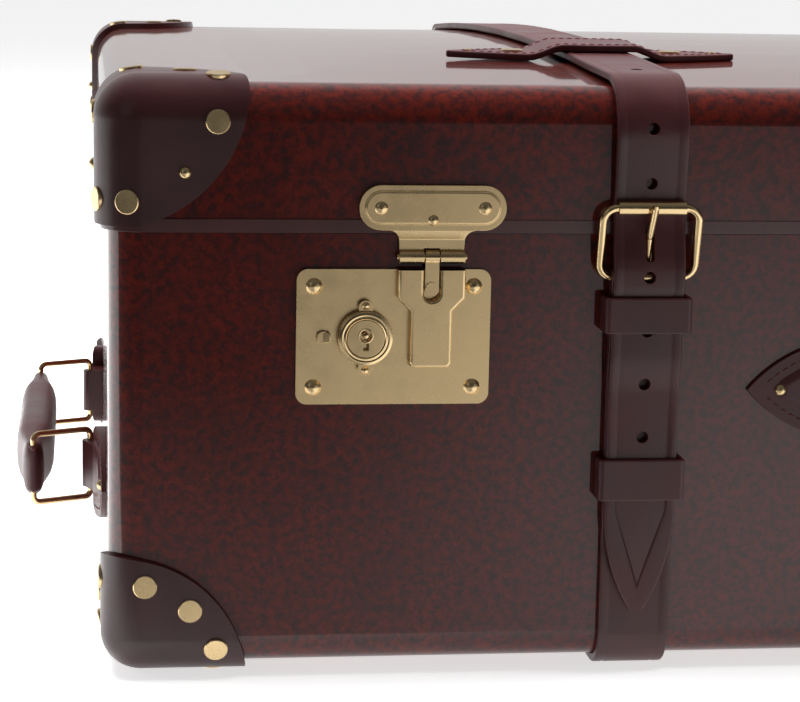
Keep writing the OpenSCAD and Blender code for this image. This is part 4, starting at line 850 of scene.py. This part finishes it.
class SUITCASE_OT_fittings(bpy.types.Operator):
    """Brass plates, lock barrels, hasps, buckles and hinges, and the lid's binding"""
    bl_idname = "suitcase.fittings"
    bl_label = "Fittings"

    def execute(self, context):
        brass = brass_material()
        # The barrels, cylinders, hooks, buckle frames and their trims take the lighter brass, whose
        # colour is a painted highlight.
        highlit = highlit_brass_material()
        edge = sizes().metal_edge
        for name in SIDES:
            softened("lock_plate_" + name, brass, edge)
            softened("hasp_plate_" + name, brass, edge)
            softened("lock_barrel_" + name, highlit, edge * BARREL_SOFT)
            softened("key_cylinder_" + name, highlit, edge * CYLINDER_SOFT)
            softened("hasp_hook_" + name, highlit, edge * HOOK_SOFT)
            softened("buckle_frame_" + name, highlit, edge * BUCKLE_SOFT,
                     grow=BUCKLE_GROW)
            self.lock_relief(name, brass)
            self.barrel_trim(name, highlit)
        for node in ("hinge_base_leaves", "hinge_lid_leaves"):
            softened(node, brass, edge * HINGE_SOFT)
        softened("lid_band", band_material(), BAND_EDGE, angle=60)
        return {"FINISHED"}

    def barrel_trim(self, name, metal):
        """Knurled skirt, beads and ear domes of a lock barrel, rim and pin of its keyhole."""
        low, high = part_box("key_cylinder_" + name)
        middle = (low + high) / 2
        face = (BASE_LOW.y - low.y) / MM
        reach = (high.x - low.x) / 2 / MM
        place = Matrix.Translation((middle.x, BASE_LOW.y, middle.z))
        turn = Matrix.Rotation(math.radians(90), 4, "X")
        bm = bmesh.new()
        foot = face - FLANGE_UNDER_FACE
        skirt = [(r, foot + h) for r, h in SKIRT] + [(reach + SKIRT_GAP, foot + SKIRT_END)]
        lathe(bm, skirt, place @ turn, 96, ribs=(foot + RIB_LOW, foot + RIB_HIGH, RIB_RISE))
        pin = bmesh.new()
        hole = place @ Matrix.Translation((0, 0, KEYHOLE_RISE * MM))
        for profile, steps in ((KEY_RIM, 32), (KEY_PIN, 24)):
            lathe(pin, [(r, face + h) for r, h in profile], hole @ turn, steps)
        for end in (-1, 1):
            ear = place @ Matrix.Translation((0, 0, end * EAR_DOME_Z * MM))
            lathe(bm, EAR_DOME, ear @ turn, 20)
        finish_piece("barrel_trim_" + name, bm, metal, "barrel_" + name)
        finish_piece("keyhole_trim_" + name, pin, metal, "key_" + name)

    def lock_relief(self, name, metal):
        """Rounded housing cover, wedge-shaped lug and raised face of the hasp."""
        low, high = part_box("lock_plate_" + name)
        middle = (low + high) / 2
        hand = 1 if name == "left" else -1
        place = on_wall(middle.x, middle.z) @ Matrix.Diagonal((hand, 1, 1, 1))
        bm = bmesh.new()
        raised_plate(bm, self.housing_outline(), place, HOUSING_FACE, HOUSING_EDGE,
                     start=PLATE_FACE - HOUSING_SINK, plain=lambda e: all(
                         v.co.y > (HOUSING_TOP - TOUCH) * MM for v in e.verts))
        slope = Matrix.Identity(4)
        slope[2][0] = LUG_SLOPE
        lug = place @ Matrix.Translation((LUG_X * MM, 0, 0)) @ slope
        raised_plate(bm, rounded(*LUG_SIZE, steps=4), lug, PLATE_FACE + LUG_RISE, LUG_EDGE,
                     start=PLATE_FACE - LUG_SINK)
        bmesh.ops.recalc_face_normals(bm, faces=bm.faces)
        finish_piece("housing_cover_" + name, bm, metal, "base", sharp=50)
        low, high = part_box("hasp_plate_" + name)
        place = on_wall((low.x + high.x) / 2, high.z - HASP_HIGH / 2 * MM)
        bm = bmesh.new()
        wide, tall = HASP_WIDE - HASP_RIM, HASP_HIGH - HASP_RIM
        raised_plate(bm, rounded(wide, tall, tall / 2 - FACE_FLAT), place, HASP_FACE, HASP_EDGE,
                     start=HASP_FACE - HASP_DEEP)
        finish_piece("hasp_face_" + name, bm, metal, body_of_node("hasp_plate_" + name),
                     sharp=50)

    def housing_outline(self):
        """Outline of the raised housing with the hook's slot open at its top."""
        wide, narrow, slot = HOUSING_WIDE, HOUSING_NARROW, SLOT_HALF
        points = [(wide, HOUSING_TOP), (slot, HOUSING_TOP)]
        points += [(slot * math.cos(math.radians(-a)), SLOT_END + slot * math.sin(math.radians(-a)))
                   for a in range(0, 181, 15)]
        points += [(-slot, HOUSING_TOP), (-wide, HOUSING_TOP), (-wide, HOUSING_SHOULDER),
                   (-narrow, HOUSING_STEP)]
        for side in (-1, 1):
            for i in range(7):
                angle = math.radians(180 + 15 * i if side < 0 else 270 + 15 * i)
                points.append((side * (narrow - HOUSING_ROUND) + HOUSING_ROUND * math.cos(angle),
                               HOUSING_LOW + HOUSING_ROUND * math.sin(angle)))
        points += [(narrow, HOUSING_STEP), (wide, HOUSING_SHOULDER)]
        return [(x + HOUSING_X, y) for x, y in points]


class SUITCASE_OT_finishes(bpy.types.Operator):
    """Materials for the CAD nodes that stay"""
    bl_idname = "suitcase.finishes"
    bl_label = "Finishes"

    def execute(self, context):
        fibre, cloth, wood = fibre_material(), lining_material(), wood_material()
        brass, highlit = brass_material(), highlit_brass_material()
        chosen = {"base_shell": fibre, "lid_shell": fibre, "lid_band": band_material(),
                  "base_lining": cloth, "lid_lining": cloth, "base_frame": wood}
        for node, piece in NODES.items():
            material = chosen.get(node)
            if material is None:
                slot = next(s["material_slot"] for s in frame["record"]["subparts"]
                            if s["node"] == node)
                if slot == "brass":
                    # Rings and buckles take the lighter brass, whose colour is a painted highlight.
                    material = highlit if "ring" in node or "buckle" in node else brass
                else:
                    material = leather_material()
            piece.data.materials.clear()
            piece.data.materials.append(material)
        return {"FINISHED"}


# Stage


# Metres for the floor; the camera's place in millimetres and its angles in degrees, as fitted to
# the case's straight edges. The room's ramp runs over the height of a ray's direction
FLOOR_REACH, FLOOR_FRONT = 5.0, 0.265
CAMERA_PLACE = (-345.9, -1031.6, 262.0)
CAMERA_YAW, CAMERA_PITCH, CAMERA_ROLL = 7.47, 9.96, 1.13
FOCAL_PIXELS, PICTURE_WIDTH, PICTURE_HEIGHT = 2408.0, 800.0, 702.0
PRINCIPAL = (401.0, 350.0)
SENSOR_WIDTH = 36.0
CLIP_START, CLIP_END = 0.05, 50.0
# Name, place, target, width and height in metres, power in watts, and if reflections show it
SOFTBOXES = (("top_box", (0.1, 0.38, 1.6), (0, 0, 0.1), 2.4, 1.6, 90.0, False),
             ("left_box", (-1.5, -1.5, 0.9), (-0.1, -0.2, 0.1), 0.9, 1.1, 0.8, True),
             ("right_box", (1.3, -1.6, 0.5), (0.1, -0.2, 0.1), 0.7, 0.9, 0.8, True),
             ("glow_box", (-1.6, -0.1, 0.6), (-0.4, -0.1, 0.1), 0.8, 0.8, 2.5, False))
FLOOR_GLOW = 0.64
FLOOR_TONE, WHITE = (0.93, 0.93, 0.93), (1.0, 1.0, 1.0)
ROOM_REAR = 0.66
ROOM_FRONT = ((0.0, 0.10), (0.34, 0.62), (0.37, 0.46), (0.41, 0.06), (0.45, 0.015), (0.62, 0.03),
              (1.0, 0.15))
VEIL_START, VEIL_END, VEIL = 0.05, 0.29, 1.0
VEIL_TONE = (1.35, 1.35, 1.35)
VEIL_TOP, VEIL_LOW = 0.03, -0.24
REAR_START, REAR_END = 0.15, 0.6


def softbox(name, place, target, width, height, power, seen):
    light = bpy.data.lights.new(name, "AREA")
    light.shape = "RECTANGLE"
    light.size = width
    light.size_y = height
    light.energy = power
    lamp = bpy.data.objects.new(name, light)
    bpy.context.scene.collection.objects.link(lamp)
    lamp.location = place
    lamp.visible_glossy = seen
    direction = Vector(target) - Vector(place)
    lamp.rotation_euler = direction.to_track_quat("-Z", "Y").to_euler()


def spread(tree, source, output, low, high, top=1.0, kind="LINEAR"):
    """Maps an output between low and high to a value between 0 and top."""
    node = tree.nodes.new("ShaderNodeMapRange")
    node.interpolation_type = kind
    node.inputs["From Min"].default_value = low
    node.inputs["From Max"].default_value = high
    node.inputs["To Max"].default_value = top
    link(tree, source, output, node, "Value")
    return node


class SUITCASE_OT_stage(bpy.types.Operator):
    """Camera of the photograph's view, pale floor and soft studio light"""
    bl_idname = "suitcase.stage"
    bl_label = "Stage"

    def execute(self, context):
        scene = context.scene
        yaw, pitch, roll = (math.radians(a) for a in (CAMERA_YAW, CAMERA_PITCH, CAMERA_ROLL))
        forward = Vector((math.sin(yaw) * math.cos(pitch), math.cos(yaw) * math.cos(pitch),
                          -math.sin(pitch)))
        level = Vector((math.cos(yaw), -math.sin(yaw), 0))
        rise = level.cross(forward)
        right = math.cos(roll) * level + math.sin(roll) * rise
        up = -math.sin(roll) * level + math.cos(roll) * rise
        camera = bpy.data.cameras.new("camera")
        camera.sensor_fit = "HORIZONTAL"
        camera.sensor_width = SENSOR_WIDTH
        camera.lens = FOCAL_PIXELS / PICTURE_WIDTH * camera.sensor_width
        camera.shift_x = (PICTURE_WIDTH / 2 - PRINCIPAL[0]) / PICTURE_WIDTH
        camera.shift_y = (PRINCIPAL[1] - PICTURE_HEIGHT / 2) / PICTURE_WIDTH
        camera.clip_start, camera.clip_end = CLIP_START, CLIP_END
        eye = bpy.data.objects.new("camera", camera)
        scene.collection.objects.link(eye)
        turn = Matrix((right, up, -forward)).transposed().to_4x4()
        eye.matrix_world = Matrix.Translation(Vector(CAMERA_PLACE) * MM) @ turn
        scene.camera = eye

        scene.view_settings.view_transform = "Standard"
        self.studio(scene)
        self.floor(scene)
        for box in SOFTBOXES:
            softbox(*box)
        return {"FINISHED"}

    def studio(self, scene):
        """White behind the case; reflections see a dim front, paler rightwards, and a pale rear."""
        world = bpy.data.worlds.new("studio")
        world.use_nodes = True
        tree = world.node_tree
        shown = tree.nodes["Background"]
        shown.inputs["Color"].default_value = (*WHITE, 1)
        room = tree.nodes.new("ShaderNodeBackground")
        place = tree.nodes.new("ShaderNodeTexCoord")
        split = tree.nodes.new("ShaderNodeSeparateXYZ")
        link(tree, place, "Generated", split, "Vector")
        height = spread(tree, split, "Z", -1.0, 1.0)
        front = ramp(tree, height, ROOM_FRONT, output="Result")
        depth = spread(tree, split, "Y", REAR_START, REAR_END)
        veil = spread(tree, split, "X", VEIL_START, VEIL_END, kind="SMOOTHSTEP")
        window = spread(tree, split, "Z", VEIL_TOP, VEIL_LOW, VEIL, "SMOOTHSTEP")
        amount = tree.nodes.new("ShaderNodeMath")
        amount.operation = "MULTIPLY"
        tree.links.new(veil.outputs["Result"], amount.inputs[0])
        tree.links.new(window.outputs["Result"], amount.inputs[1])
        facing = mix(tree, amount.outputs["Value"], front.outputs["Color"], VEIL_TONE)
        colour = mix(tree, depth.outputs["Result"], facing, (ROOM_REAR,) * 3)
        tree.links.new(colour, room.inputs["Color"])
        path = tree.nodes.new("ShaderNodeLightPath")
        join = tree.nodes.new("ShaderNodeMixShader")
        link(tree, path, "Is Camera Ray", join, "Fac")
        tree.links.new(room.outputs["Background"], join.inputs[1])
        tree.links.new(shown.outputs["Background"], join.inputs[2])
        link(tree, join, "Shader", tree.nodes["World Output"], "Surface")
        scene.world = world

    def floor(self, scene):
        """Pale floor that ends a little way in front of the case."""
        bm = bmesh.new()
        bmesh.ops.create_grid(bm, x_segments=1, y_segments=1, size=FLOOR_REACH)
        bmesh.ops.translate(bm, verts=bm.verts, vec=(0, FLOOR_REACH - FLOOR_FRONT, 0))
        mesh = bpy.data.meshes.new("floor")
        bm.to_mesh(mesh)
        bm.free()
        floor = bpy.data.objects.new("floor", mesh)
        scene.collection.objects.link(floor)
        material, _, shader = new_material("floor", 0.9, specular=0.1)
        shader.inputs["Base Color"].default_value = (*FLOOR_TONE, 1)
        shader.inputs["Emission Color"].default_value = (*WHITE, 1)
        shader.inputs["Emission Strength"].default_value = FLOOR_GLOW
        mesh.materials.append(material)


OPERATORS = (SUITCASE_OT_stage, SUITCASE_OT_finishes, SUITCASE_OT_lid, SUITCASE_OT_corners,
             SUITCASE_OT_belts, SUITCASE_OT_lid_loops, SUITCASE_OT_handles, SUITCASE_OT_fittings)


class SUITCASE_PT_panel(bpy.types.Panel):
    """Lists the suitcase's sizes, colours and pieces"""
    bl_label = "Suitcase"
    bl_idname = "SUITCASE_PT_panel"
    bl_space_type = "VIEW_3D"
    bl_region_type = "UI"
    bl_category = "Suitcase"

    def draw(self, context):
        for group in (context.scene.suitcase_look, context.scene.suitcase_sizes):
            for name in group.__annotations__:
                self.layout.prop(group, name)
        for operator in OPERATORS:
            self.layout.operator(operator.bl_idname)


CLASSES = (SuitcaseLook, SuitcaseSizes, *OPERATORS, SUITCASE_PT_panel)


def register():
    for made in CLASSES:
        bpy.utils.register_class(made)
    bpy.types.Scene.suitcase_look = PointerProperty(type=SuitcaseLook)
    bpy.types.Scene.suitcase_sizes = PointerProperty(type=SuitcaseSizes)


def unregister():
    del bpy.types.Scene.suitcase_look
    del bpy.types.Scene.suitcase_sizes
    for made in reversed(CLASSES):
        bpy.utils.unregister_class(made)


def main():
    register()
    for operator in OPERATORS:
        group, name = operator.bl_idname.split(".")
        getattr(getattr(bpy.ops, group), name)()


if __name__ == "__main__":
    main()
